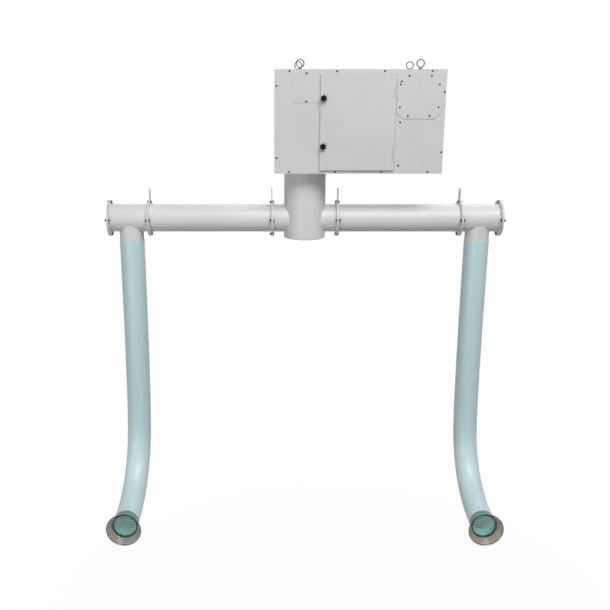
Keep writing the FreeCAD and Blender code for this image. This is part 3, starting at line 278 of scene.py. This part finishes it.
def spun(shape, axis, sides):
    """Turn what a shape holds about an axis through the origin into a closed body."""
    bmesh.ops.spin(
        shape,
        geom=shape.verts[:] + shape.edges[:],
        cent=(0, 0, 0),
        axis=axis,
        angle=math.tau,
        steps=sides,
        use_merge=True,
    )
    bmesh.ops.remove_doubles(shape, verts=shape.verts[:], dist=POLE_JOIN)
    bmesh.ops.recalc_face_normals(shape, faces=shape.faces[:])


def set_down(shape, place, axis, crisp=CRISP_ANGLE):
    """Move a shape to a place, with its own upward axis along another one."""
    facing = Vector((0, 0, 1)).rotation_difference(Vector(axis)).to_matrix().to_4x4()
    bmesh.ops.transform(shape, matrix=Matrix.Translation(place) @ facing, verts=shape.verts[:])
    shade_smooth(shape, crisp)
    return shape


def turned(outline, place, axis, sides):
    """A body turned from an outline of radius and height; an outline that starts on the axis ends on it."""
    shape = bmesh.new()
    verts = [shape.verts.new((radius, 0.0, height)) for radius, height in outline]
    links = list(zip(verts, verts[1:]))
    if outline[0][0] > 0.0:
        links.append((verts[-1], verts[0]))
    for pair in links:
        shape.edges.new(pair)
    spun(shape, (0, 0, 1), sides)
    return set_down(shape, place, axis)


def gathered(shapes):
    """Several shapes as one."""
    whole = bmesh.new()
    for shape in shapes:
        part = bpy.data.meshes.new("part")
        shape.to_mesh(part)
        shape.free()
        whole.from_mesh(part)
        bpy.data.meshes.remove(part)
    return whole


def eye_ring(place):
    shape = bmesh.new()
    bar = bmesh.ops.create_circle(shape, segments=EYE_BAR_SIDES, radius=EYE_BAR)["verts"]
    bmesh.ops.translate(shape, verts=bar, vec=(EYE_RING, 0, 0))
    spun(shape, (0, 1, 0), EYE_RING_SIDES)
    return set_down(shape, place, (0, 0, 1))


eyes = []
for x, y in EYE_PLACES:
    eyes += [eye_ring((x, y, 0.0)), turned(EYE_STEM, (x, y, 0.0), (0, 0, 1), EYE_STEM_SIDES)]
put("eye_bolts_forged", gathered(eyes), bright_steel, "unit", "bright_steel", "eye_bolts")
dress(["eye_bolt_nuts"], bright_steel, "unit", "bright_steel", STEEL_EDGE)

# Inner sheets: the partition, the filters' channels, the inlet collar and the control box inside the casing.
# Galvanised steel, folded and left unpainted, so the zinc's spangle shows. They are screwed to the casing.
ZINC_EDGE = 0.0003
SPANGLE = 140.0
ZINC_ROUGH, FLAKE_ROUGH = 0.34, 0.15
zinc = Finish(bpy.data.materials.new("galvanised sheet"))
crystals = zinc.node("ShaderNodeTexVoronoi", None, {"Vector": zinc.place(), "Scale": SPANGLE}, output="Color")
flake = zinc.node("ShaderNodeSeparateColor", None, {"Color": crystals})
galvanised = zinc.surface(
    base_color=zinc.between(flake, shade(158, 160, 161), shade(190, 191, 191)),
    metallic=0.85,
    roughness=flake * FLAKE_ROUGH + ZINC_ROUGH,
)
inner_sheets = ["inner_partition", "lower_filter_channel", "upper_filter_channel"]
dress([*inner_sheets, "inlet_collar", "control_box"], galvanised, "unit", "galvanised", ZINC_EDGE)


# Fan: a scroll of galvanised sheet on rubber posts, and a bladed wheel on the shaft of a cast motor.
# It stands behind the partition and shows only through the grille.
def coat(nodes, material):
    """Give nodes that are shown as they are their finish."""
    for node in nodes:
        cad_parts[node].data.materials.clear()
        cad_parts[node].data.materials.append(material)


motor_paint = mottled(
    "painted cast motor",
    (shade(142, 145, 148), shade(160, 162, 165)),
    patches=(70.0, 4.0),
    gloss=(90.0, 0.4, 0.2),
    grain=(260.0, 0.0003),
)
black_rubber = mottled(
    "black rubber",
    (shade(28, 28, 28), shade(46, 45, 44)),
    patches=(60.0, 2.0),
    gloss=(300.0, 0.6, 0.2),
    grain=(900.0, 0.0001),
)
coat(["fan_scroll", "fan_inlet_ring", "fan_impeller", "motor_bracket"], galvanised)
coat(["motor_shaft"], bright_steel)
coat(["fan_motor"], motor_paint)
coat(["fan_rubber_mounts"], black_rubber)

# Filters: a coarse mat, a pleated block and a carbon block, each in a board frame.
# They stand on the lower channel and slide out to the front when the door is open.
FILTER_EDGE = 0.0008
MAT_FIBRES = (420.0, 4.0)
MAT_STRETCH = (1.0, 0.25, 1.0)
MAT_RELIEF = 0.0006
CARBON_GRAINS = 420.0
CARBON_RELIEF = 0.0006
CARBON_ROUGH, PELLET_ROUGH = 0.5, 0.3
mat = Finish(bpy.data.materials.new("filter mat"))
fibre = mat.noise(mat.place(MAT_STRETCH), *MAT_FIBRES)
filter_mat = mat.surface(
    base_color=mat.between(fibre, shade(206, 204, 196), shade(228, 227, 221)),
    roughness=0.9,
    normal=mat.bump(fibre, MAT_RELIEF),
)
filter_board = mottled(
    "filter board",
    (shade(216, 212, 200), shade(198, 193, 180)),
    patches=(90.0, 5.0),
    gloss=(200.0, 0.75, 0.1),
    grain=(500.0, 0.0001),
    stretch=(0.3, 1.0, 1.0),
)
carbon = Finish(bpy.data.materials.new("carbon block"))
pellet = carbon.node("ShaderNodeTexVoronoi", None, {"Vector": carbon.place(), "Scale": CARBON_GRAINS})
filter_carbon = carbon.surface(
    base_color=carbon.between(pellet, shade(70, 70, 70), shade(44, 44, 45)),
    roughness=pellet * PELLET_ROUGH + CARBON_ROUGH,
    normal=carbon.bump(pellet, CARBON_RELIEF),
)
dress(["pre_filter"], filter_mat, "unit", "filter_media", FILTER_EDGE)
dress(["particle_filter"], filter_board, "unit", "filter_card", FILTER_EDGE)
dress(["carbon_filter"], filter_carbon, "unit", "carbon_media", FILTER_EDGE)

# Covers on the front: the service cover and the octagonal plate over the spare outlet, in the casing's paint.
# Both are laser cut flat sheets with broken edges, screwed on; the plate sits on a pale rubber gasket.
COVER_EDGE = 0.0004
pale_rubber = mottled(
    "pale grey seal",
    (shade(192, 192, 189), shade(204, 204, 201)),
    patches=(120.0, 2.0),
    gloss=(300.0, 0.6, 0.2),
    grain=(900.0, 0.0001),
)
dress(["service_cover", "outlet_plate"], casing_coat, "unit", "casing_paint", COVER_EDGE)
coat(["outlet_plate_gasket"], pale_rubber)

# Exhaust grille and cable gland on the back wall: a slotted sheet in the casing's paint, screwed on, and a
# black moulded gland. The gland's nut holds it from inside, next to the terminal block of the control box.
GLAND_EDGE = 0.0007
black_plastic = mottled(
    "black moulded plastic",
    (shade(10, 10, 11), shade(19, 19, 20)),
    patches=(80.0, 3.0),
    gloss=(240.0, 0.3, 0.18),
    grain=(1500.0, 0.00004),
    specular_ior_level=0.1,
)
dress(["exhaust_grille"], casing_coat, "unit", "casing_paint", COVER_EDGE)
dress(["cable_gland", "cable_gland_nut"], black_plastic, "unit", "black_plastic", GLAND_EDGE)
coat(["terminal_block"], black_plastic)

# Screws: steel pan heads with a cross recess, blackened on the front and plated on the back and inlet collar.
# They are driven into the sheets, so only the heads show.
SCREW_FLAT = 0.0026
SCREW_HEAD = 0.0035
SCREW_DOME = [(0.00322, -0.00066), (SCREW_HEAD, -0.001364), (SCREW_HEAD, -0.0022)]
SCREW_SHANK = 0.002
CROSS_REACH = 0.0019
CROSS_HALF = 0.00045
CROSS_DEPTH = 0.0012
SCREW_SIDES = 24
SCREW_CRISP = math.radians(40.0)
dark_steel = mottled(
    "blackened steel",
    (shade(20, 19, 16), shade(34, 33, 29)),
    patches=(300.0, 4.0),
    gloss=(700.0, 0.3, 0.25),
    metallic=0.5,
)


def solids(node):
    """The lowest and the highest corner of each separate solid of a node."""
    shape = joined_up(node)
    waiting, found = set(shape.verts), []
    while waiting:
        growing, corners = [waiting.pop()], []
        while growing:
            vert = growing.pop()
            corners.append(vert.co.copy())
            for edge in vert.link_edges:
                other = edge.other_vert(vert)
                if other in waiting:
                    waiting.remove(other)
                    growing.append(other)
        low, high = ([pick(c[i] for c in corners) for i in range(3)] for pick in (min, max))
        found.append((Vector(low), Vector(high)))
    shape.free()
    return found


def stretched(shape, ring, reach, height):
    """Extrude a ring of edges to a height, with each corner's distance from the axis told by its angle."""
    made = bmesh.ops.extrude_edge_only(shape, edges=ring)["geom"]
    corners = {part for part in made if isinstance(part, bmesh.types.BMVert)}
    for vert in corners:
        angle = math.atan2(vert.co.y, vert.co.x)
        vert.co = (reach(angle) * math.cos(angle), reach(angle) * math.sin(angle), height)
    return [part for part in made if isinstance(part, bmesh.types.BMEdge) and set(part.verts) <= corners]


def round_steps(shape, ring, steps):
    """Extrude a ring of edges through steps of radius and height."""
    for radius, height in steps:
        ring = stretched(shape, ring, lambda angle: radius, height)
    return ring


def closed_off(shape, ring, place, axis, crisp=CRISP_ANGLE):
    """Close a shape's last ring and set it down."""
    bmesh.ops.edgeloop_fill(shape, edges=ring)
    bmesh.ops.recalc_face_normals(shape, faces=shape.faces[:])
    return set_down(shape, place, axis, crisp)


def pan_screw(top, out, length):
    """A screw with its head's top at a place, facing out."""
    shape = bmesh.new()
    bmesh.ops.create_circle(shape, segments=SCREW_SIDES, radius=SCREW_FLAT)
    rim = shape.edges[:]
    arm = [(CROSS_HALF, -CROSS_REACH), (CROSS_HALF, -CROSS_HALF), (CROSS_REACH, -CROSS_HALF)]
    cross = []
    for quarter in range(4):
        turn = Matrix.Rotation(quarter * math.pi / 2, 3, "Z")
        cross += [shape.verts.new(turn @ Vector((x, y, 0.0))) for x, y in arm]
    cross_edges = [shape.edges.new(pair) for pair in zip(cross, cross[1:] + cross[:1])]
    bmesh.ops.triangle_fill(shape, edges=rim + cross_edges, use_beauty=True, normal=(0, 0, 1))
    sunk = bmesh.ops.extrude_edge_only(shape, edges=cross_edges)["geom"]
    floor_verts = [part for part in sunk if isinstance(part, bmesh.types.BMVert)]
    bmesh.ops.translate(shape, verts=floor_verts, vec=(0, 0, -CROSS_DEPTH))
    floor_edges = [e for e in sunk if isinstance(e, bmesh.types.BMEdge) and set(e.verts) <= set(floor_verts)]
    bmesh.ops.triangle_fill(shape, edges=floor_edges, use_beauty=True, normal=(0, 0, 1))
    under_head = (SCREW_SHANK, SCREW_DOME[-1][1])
    ring = round_steps(shape, rim, [*SCREW_DOME, under_head, (SCREW_SHANK, -length)])
    return closed_off(shape, ring, top, out, SCREW_CRISP)


SCREW_ROWS = {
    "front_panel_screws": ((0, -1, 0), dark_steel, "dark_steel"),
    "partition_screws": ((0, -1, 0), dark_steel, "dark_steel"),
    "service_cover_screws": ((0, -1, 0), dark_steel, "dark_steel"),
    "outlet_plate_screws": ((0, -1, 0), dark_steel, "dark_steel"),
    "exhaust_grille_screws": ((0, 1, 0), bright_steel, "bright_steel"),
    "inlet_collar_screws": ((0, 0, 1), bright_steel, "bright_steel"),
}
for node, (out, material, slot) in SCREW_ROWS.items():
    screws = []
    for low, high in solids(node):
        reach = abs((high - low).dot(Vector(out))) / 2
        screws.append(pan_screw((low + high) / 2 + reach * Vector(out), out, 2 * reach))
    put(f"{node}_driven", gathered(screws), material, "unit", slot, node)

# Filter door: a hollow leaf of folded steel with a rounded hinge edge, painted like the casing.
# Two short barrels on the front sheet carry it on steel pins, and it closes on a foam frame.
DOOR_BEND = 0.0015
KNUCKLE_EDGE = 0.0006
door_coat = powder_coat("door powder coat", shade(205, 205, 206), shade(201, 201, 203))
dress(["filter_door"], door_coat, "door", "door_paint", DOOR_BEND)
dress(["door_hinge_knuckles"], casing_coat, "unit", "casing_paint", KNUCKLE_EDGE)
coat(["door_hinge_pins"], bright_steel)
coat(["door_gasket"], black_rubber)

# Star knobs: grips of black moulded plastic with six lobes, one above the other at the door's free edge.
# Each is moulded round a plated stud that closes on a nut riveted into the front sheet.
KNOBS = {"upper": (-0.141, -0.1583, -0.129), "lower": (-0.141, -0.1583, -0.311)}
KNOB_CORE = 0.0085
LOBE_RADIUS = 0.0039
LOBE_CIRCLE = 0.0086
LOBE_TURN = math.pi / 3
KNOB_BOSS = 0.007
BOSS_HEIGHT = 0.004
LOBE_SIDE = [
    (0.0014, 0.0040),
    (0.0004, 0.0044),
    (0.0, 0.0054),
    (0.0, 0.0130),
    (0.0003, 0.0140),
    (0.0009, 0.0147),
    (0.0019, 0.0150),
]
KNOB_CAP = [(0.0056, 0.0150), (0.0052, 0.0145), (0.0048, 0.0144), (0.0045, 0.0149), (0.003, 0.0150)]
KNOB_SIDES = 96


def lobed(inset):
    """How far a knob reaches at an angle, set in by a little for its rounded edges."""

    def reach(angle):
        off = angle % LOBE_TURN - LOBE_TURN / 2
        across = LOBE_CIRCLE * math.sin(off)
        if abs(across) >= LOBE_RADIUS:
            return KNOB_CORE - inset
        lobe = LOBE_CIRCLE * math.cos(off) + math.sqrt(LOBE_RADIUS**2 - across**2)
        return max(KNOB_CORE, lobe) - inset

    return reach


def star_knob(seat):
    shape = bmesh.new()
    bmesh.ops.create_circle(shape, segments=KNOB_SIDES, radius=KNOB_BOSS, cap_ends=True)
    ring = round_steps(shape, shape.edges[:], [(KNOB_BOSS, BOSS_HEIGHT)])
    for inset, height in LOBE_SIDE:
        ring = stretched(shape, ring, lobed(inset), height)
    return closed_off(shape, round_steps(shape, ring, KNOB_CAP), seat, (0, -1, 0))


for name, seat in KNOBS.items():
    grip = star_knob(seat)
    put(f"{name}_knob_grip", grip, black_plastic, f"{name}_knob", "black_plastic", f"{name}_star_knob")
    coat([f"{name}_knob_stud"], bright_steel)
coat(["rivet_nuts"], bright_steel)

# Ducts: a riser below the casing with flanged branches to both sides, in an off-white powder coat.
# The tubes are rolled and welded steel. The flanges are cut rings welded on, four of them with a hanger lug.
DUCT_EDGE = 0.0006
duct_coat = powder_coat("off-white powder coat", shade(217, 217, 217), shade(213, 212, 211))
riser = ["centre_duct", "centre_duct_end_cap"]
branches = ["left_duct", "right_duct", "left_end_tee", "right_end_tee", "blind_flanges", "hanger_lugs"]
dress(riser + branches, duct_coat, "unit", "duct_paint", DUCT_EDGE)

# Flange joints: a pale rubber gasket in each of the six joints of the ducts.
# Four blackened hexagon bolts with nuts pull each joint up.
BOLT_EDGE = 0.0005
coat(["flange_gaskets"], pale_rubber)
dress(["flange_bolts", "flange_nuts"], dark_steel, "unit", "dark_steel", BOLT_EDGE)

# Hoses: a clear film wound on a fine spiral wire, pushed over each end tee's spigot.
# Each hangs straight, then turns forward to its hood and keeps that bend. Its end is doubled into a cuff.
DUCT_X, DUCT_Z, SPIGOT = -0.203, -0.616, 0.728
HOSE_ROUTE = [
    (0.0, 0.0, 0.091),
    (0.0, 0.0, 0.450),
    (0.004, 0.0, 0.810),
    (0.010, 0.0, 0.9945),
    (0.014, 0.0294, 1.0849),
    (0.018, 0.0852, 1.1618),
    (0.0225, 0.1621, 1.2176),
    (0.026, 0.2525, 1.247),
    (0.026, 0.3405, 1.247),
]
SIDES = {"left": -1, "right": 1}
HOSE_OUTSIDE = 0.0519
FILM = 0.0009
RIB_HEIGHT = 0.0002
RIB_PITCH = 0.016
RINGS_PER_RIB = 8
HOSE_SIDES = 48
CUFF_LENGTH = 0.034
LINE_STEPS = 60
WIRE_EDGE = (0.5, 0.85)
WIRE_PART, CLOUD_PART = 0.8, 0.2
HOSE_CLOUD = (14.0, 3.0)
CLOUD_EDGE = (0.3, 0.7)
CUFF_SPECKS = (260.0, 0.5, 0.5)
HOSE_GLOSS = (160.0, 0.22, 0.15)
PAINTED_LIGHT_FROM_TO = (0.45, 0.85)
CLEARER_FROM_TO = (0.76, 0.88)


def hose_finish(name, hanging_and_painted_light_colours, wire_colour, wire_share, cuff_colour, alphas):
    """The film, from its hanging part to its bent part, which is clearer and painted paler as painted light,
    with its wire and cuff.
    """
    film = Finish(bpy.data.materials.new(name))
    place = film.place()
    along = film.attribute("along")
    cloud = film.ease(film.noise(place, *HOSE_CLOUD), *CLOUD_EDGE)
    wire = film.ease(film.attribute("rib"), *WIRE_EDGE)
    # Painted light: the colour turns paler along the bend, where more light falls on it.
    tone = film.between(film.ease(along, *PAINTED_LIGHT_FROM_TO), *hanging_and_painted_light_colours)
    wired = film.between((cloud * CLOUD_PART + wire * WIRE_PART) * wire_share, tone, wire_colour)
    doubled = film.attribute("cuff") * film.varied(place, *CUFF_SPECKS)
    hanging, bent = alphas
    return film.surface(
        base_color=film.between(doubled, wired, cuff_colour),
        roughness=film.varied(place, *HOSE_GLOSS),
        alpha=film.ease(along, *CLEARER_FROM_TO) * (bent - hanging) + hanging,
        specular_ior_level=0.4,
    )


hose_film = hose_finish(
    "teal hose film",
    # The second, paler colour is painted light on the bend.
    (shade(202, 228, 233), shade(222, 244, 248)),
    wire_colour=shade(176, 214, 216),
    wire_share=0.12,
    cuff_colour=shade(72, 174, 170),
    alphas=(0.9, 0.76),
)
# Painted light: the film's inner face is a brighter, stronger teal than its outer face, and its wire is
# white. This stands in for the light let through the film into the bend and throat.
hose_inside_painted_light = hose_finish(
    "teal hose lining",
    (shade(124, 232, 225), shade(124, 232, 225)),
    wire_colour=shade(252, 255, 255),
    wire_share=1.1,
    cuff_colour=shade(120, 240, 233),
    alphas=(0.85, 0.66),
)


def route_line(points):
    """Close points along the smooth line that the route's points lead."""
    curve = bpy.data.curves.new("hose_line", "CURVE")
    curve.dimensions = "3D"
    curve.resolution_u = LINE_STEPS
    spline = curve.splines.new("NURBS")
    spline.points.add(len(points) - 1)
    for control, point in zip(spline.points, points):
        control.co = (*point, 1.0)
    spline.order_u = 3
    spline.use_endpoint_u = True
    line = bpy.data.objects.new("hose_line", curve)
    mesh = bpy.data.meshes.new_from_object(line)
    found = [vertex.co.copy() for vertex in mesh.vertices]
    bpy.data.objects.remove(line)
    bpy.data.curves.remove(curve)
    bpy.data.meshes.remove(mesh)
    return found


def walk(points, step):
    """Places and directions at even steps along a line of points."""
    lengths = [0.0]
    for before, after in zip(points, points[1:]):
        lengths.append(lengths[-1] + (after - before).length)
    count = round(lengths[-1] / step)
    found, run = [], 0
    for i in range(count + 1):
        at = lengths[-1] * i / count
        while run < len(points) - 2 and lengths[run + 1] < at:
            run += 1
        share = (at - lengths[run]) / (lengths[run + 1] - lengths[run])
        found.append(points[run].lerp(points[run + 1], share))
    heads = [(b - a).normalized() for a, b in zip(found, found[1:])]
    return found, [heads[0], *[(a + b).normalized() for a, b in zip(heads, heads[1:])], heads[-1]]


def ribbed_tube(points):
    """A straight tube of one metre, laid along a line, with its wall out over each turn of the wire."""
    places, heads = walk(points, RIB_PITCH / RINGS_PER_RIB)
    count = len(places) - 1
    shape = bmesh.new()
    bmesh.ops.create_cone(
        shape, segments=HOSE_SIDES, radius1=HOSE_OUTSIDE, radius2=HOSE_OUTSIDE, depth=1.0, cap_ends=False
    )
    long_edges = [edge for edge in shape.edges if abs(edge.verts[0].co.z - edge.verts[1].co.z) > 0.5]
    bmesh.ops.subdivide_edges(shape, edges=long_edges, cuts=count - 1, use_grid_fill=True)
    turns = [Vector((0, 0, 1)).rotation_difference(heads[0])]
    for before, after in zip(heads, heads[1:]):
        turns.append(before.rotation_difference(after) @ turns[-1])
    rib, cuff, along = (shape.verts.layers.float.new(name) for name in ("rib", "cuff", "along"))
    cuff_rings = round(CUFF_LENGTH * RINGS_PER_RIB / RIB_PITCH)
    for vert in shape.verts:
        ring = round((vert.co.z + 0.5) * count)
        angle = math.atan2(vert.co.y, vert.co.x) / math.tau
        wave = 0.5 + 0.5 * math.cos(math.tau * (ring / RINGS_PER_RIB - angle))
        vert[rib] = wave
        vert[cuff] = float(ring > count - cuff_rings)
        vert[along] = ring / count
        out = turns[ring] @ Vector((vert.co.x, vert.co.y, 0.0)).normalized()
        vert.co = places[ring] + out * (HOSE_OUTSIDE - RIB_HEIGHT * (1 - wave))
    for face in shape.faces:
        face.smooth = True
    return shape


routes, hose_lines, hoses = {}, {}, {}
for name, side in SIDES.items():
    routes[name] = [
        Vector((DUCT_X + side * (SPIGOT + out), -forward, DUCT_Z - down)) for out, forward, down in HOSE_ROUTE
    ]
    hose_lines[name] = route_line(routes[name])
    mesh = bpy.data.meshes.new(f"{name}_hose_film")
    shape = ribbed_tube(hose_lines[name])
    shape.to_mesh(mesh)
    shape.free()
    mesh.materials.append(hose_film)
    mesh.materials.append(hose_inside_painted_light)
    hoses[name] = bpy.data.objects.new(f"{name}_hose_film", mesh)
    bpy.context.scene.collection.objects.link(hoses[name])
    wall = hoses[name].modifiers.new("film", "SOLIDIFY")
    wall.thickness = FILM
    wall.offset = -1.0
    # The inner face takes the second finish, the one with painted light.
    wall.material_offset = 1
    wall.material_offset_rim = 1
    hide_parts(f"{name}_hose")

# Hoods: clear smoke-tinted plastic bells, blown in one piece with a sleeve that grips the hose's end.
# A black rubber ring lines the throat.
HOOD_SIDES = 96
HOOD_OUTLINE = [
    (0.0523, 0.0280),
    (0.0535, 0.0284),
    (0.0543, 0.0278),
    (0.0543, -0.0035),
    (0.0548, -0.0058),
    (0.0715, -0.0355),
    (0.0732, -0.0372),
    (0.0734, -0.0378),
    (0.0728, -0.0380),
    (0.0712, -0.0366),
    (0.0532, -0.0066),
    (0.0523, -0.0050),
    (0.0500, -0.0050),
    (0.0498, -0.0046),
    (0.0498, -0.0009),
    (0.0501, -0.0005),
    (0.0523, -0.0005),
]
MOUTH_Y, THROAT_Y = -0.3785, -0.3455
RIDGE_PITCH = 0.0066
RIDGE_EDGE = (-0.3, 0.7)
RIDGE_RELIEF = 0.0003
RIDGE_PART, RIM_PART = 0.85, 0.4
RIM = 0.0016
LIP = 0.0011
HAZE = (160.0, 3.0)
HOOD_ROUGH, HAZE_ROUGH = 0.08, 0.08
TINT_SCALE = 26.0
TINT_EDGE = (0.4, 0.6)
SLEEVE_ALPHA, BELL_ALPHA, RIDGE_ALPHA, HAZE_ALPHA, LINE_ALPHA = 0.2, 0.34, 0.2, 0.1, 0.3
smoke = Finish(bpy.data.materials.new("smoked clear plastic"))
hood_place = smoke.place()
forward = smoke.node("ShaderNodeSeparateXYZ", None, {"Vector": hood_place}, output="Y")
ridge = smoke.node("ShaderNodeMath", {"operation": "SINE"}, {0: forward * (math.tau / RIDGE_PITCH)})
ridge_line = smoke.ease(ridge, *RIDGE_EDGE)
bell_wall = 1.0 - smoke.ease(forward, THROAT_Y + 2 * LIP, THROAT_Y + 4 * LIP)
lip_line = bell_wall * smoke.ease(forward, THROAT_Y - 2 * LIP, THROAT_Y - LIP)
rim_line = 1.0 - smoke.ease(forward, MOUTH_Y + RIM, MOUTH_Y + 2 * RIM)
haze = smoke.noise(hood_place, *HAZE)
tint_patch = smoke.ease(smoke.noise(hood_place, TINT_SCALE), *TINT_EDGE)
smoke_tint = smoke.between(tint_patch, shade(180, 160, 134), shade(152, 164, 158))
ridged = smoke.between(ridge_line * RIDGE_PART + rim_line * RIM_PART, smoke_tint, shade(80, 62, 43))
bell_alpha = ridge_line * RIDGE_ALPHA + haze * HAZE_ALPHA + BELL_ALPHA
hood_plastic = smoke.surface(
    base_color=smoke.between(lip_line, ridged, shade(22, 22, 21)),
    roughness=haze * HAZE_ROUGH + HOOD_ROUGH,
    alpha=bell_wall * bell_alpha + (rim_line + lip_line) * LINE_ALPHA + SLEEVE_ALPHA,
    normal=smoke.bump(ridge, RIDGE_RELIEF),
)
for name, hose in hoses.items():
    first, last = routes[name][0], routes[name][-1]
    bell = turned(HOOD_OUTLINE, last, (0, 1, 0), HOOD_SIDES)
    hood = put(f"{name}_hood_bell", bell, hood_plastic, f"{name}_hood", "hood_clear", f"{name}_hood")
    coat([f"{name}_hood_seal"], black_rubber)
    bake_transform(hose)

# Studio: a pale floor far below the unit, a white surround and soft lamps above, in front and behind.
# The camera stands in front and a little left of the unit, above its middle, tilted down.
FLOOR_Z = -2.7
FLOOR_REACH = 12.0
FLOOR_PAINT = (0.25, 0.23, 0.2, 1.0)
SHADOW_SHARE = 0.04
SHADOW_REACH = (0.9, 2.4)
AMBIENT = 0.25
WHITE = (1.0, 1.0, 1.0, 1.0)
LAMPS = {
    "key_soft_box": ((0.9, -3.4, 3.0), (-0.1, 0, -0.6), (3.6, 2.2), 205.0),
    "front_soft_box": ((-2.4, -3.7, -1.5), (-0.2, 0, -1.1), (3.0, 1.4), 40.0),
    "back_soft_box": ((0.7, 3.4, 2.6), (0.0, 0, -0.6), (3.0, 1.6), 56.0),
}
CAMERA_PLACE = (-0.3355, -3.226, -0.101)
CAMERA_TILT = math.radians(74.5)
CAMERA_LENS = 45.62
CAMERA_SENSOR = 36.0
CAMERA_SHIFT = 0.0525


def shown_rays(finish):
    """1 for what the camera sees, straight, in gloss or through clear plastic, and 0 for other light."""
    shown = 0.0
    for ray in ("Is Camera Ray", "Is Glossy Ray", "Is Transmission Ray"):
        shown = finish.sum("MAXIMUM", finish.node("ShaderNodeLightPath", output=ray), shown)
    return shown


floor_shape = bmesh.new()
bmesh.ops.create_grid(floor_shape, x_segments=1, y_segments=1, size=FLOOR_REACH)
bmesh.ops.translate(floor_shape, verts=floor_shape.verts[:], vec=(0, 0, FLOOR_Z))
floor_mesh = bpy.data.meshes.new("floor")
floor_shape.to_mesh(floor_mesh)
floor_shape.free()
pale = Finish(bpy.data.materials.new("pale floor"))
floor_place = pale.place((1.0, 1.0, 0.0))
away = pale.node("ShaderNodeVectorMath", {"operation": "LENGTH"}, {0: floor_place}, output="Value")
shadow_share = SHADOW_SHARE * (1.0 - pale.ease(away, *SHADOW_REACH))
floor_paint = pale.node("ShaderNodeBsdfDiffuse", None, {"Color": FLOOR_PAINT})
floor_white = pale.node("ShaderNodeEmission", None, {"Color": WHITE, "Strength": 1.0})
floor_mix = {0: shown_rays(pale) * (1.0 - shadow_share), 1: floor_paint, 2: floor_white}
pale.node("ShaderNodeOutputMaterial", None, {"Surface": pale.node("ShaderNodeMixShader", None, floor_mix)})
floor_mesh.materials.append(pale.owner)
floor = bpy.data.objects.new("floor", floor_mesh)
bpy.context.scene.collection.objects.link(floor)

room = Finish(bpy.data.worlds.new("white room"))
room_light = shown_rays(room) * (1.0 - AMBIENT) + AMBIENT
room_white = room.node("ShaderNodeBackground", None, {"Color": WHITE, "Strength": room_light})
room.node("ShaderNodeOutputWorld", None, {"Surface": room_white})
bpy.context.scene.world = room.owner

for name, (place, target, size, watts) in LAMPS.items():
    light = bpy.data.lights.new(name, "AREA")
    light.shape = "RECTANGLE"
    light.size, light.size_y = size
    light.energy = watts
    lamp = bpy.data.objects.new(name, light)
    lamp.location = place
    lamp.rotation_euler = (Vector(target) - Vector(place)).to_track_quat("-Z", "Y").to_euler()
    bpy.context.scene.collection.objects.link(lamp)

camera = bpy.data.objects.new("camera", bpy.data.cameras.new("camera"))
camera.data.sensor_width = CAMERA_SENSOR
camera.data.lens = CAMERA_LENS
camera.data.shift_x = CAMERA_SHIFT
camera.location = CAMERA_PLACE
camera.rotation_euler = (CAMERA_TILT, 0.0, 0.0)
bpy.context.scene.collection.objects.link(camera)
bpy.context.scene.camera = camera
bpy.context.scene.view_settings.view_transform = "Standard"
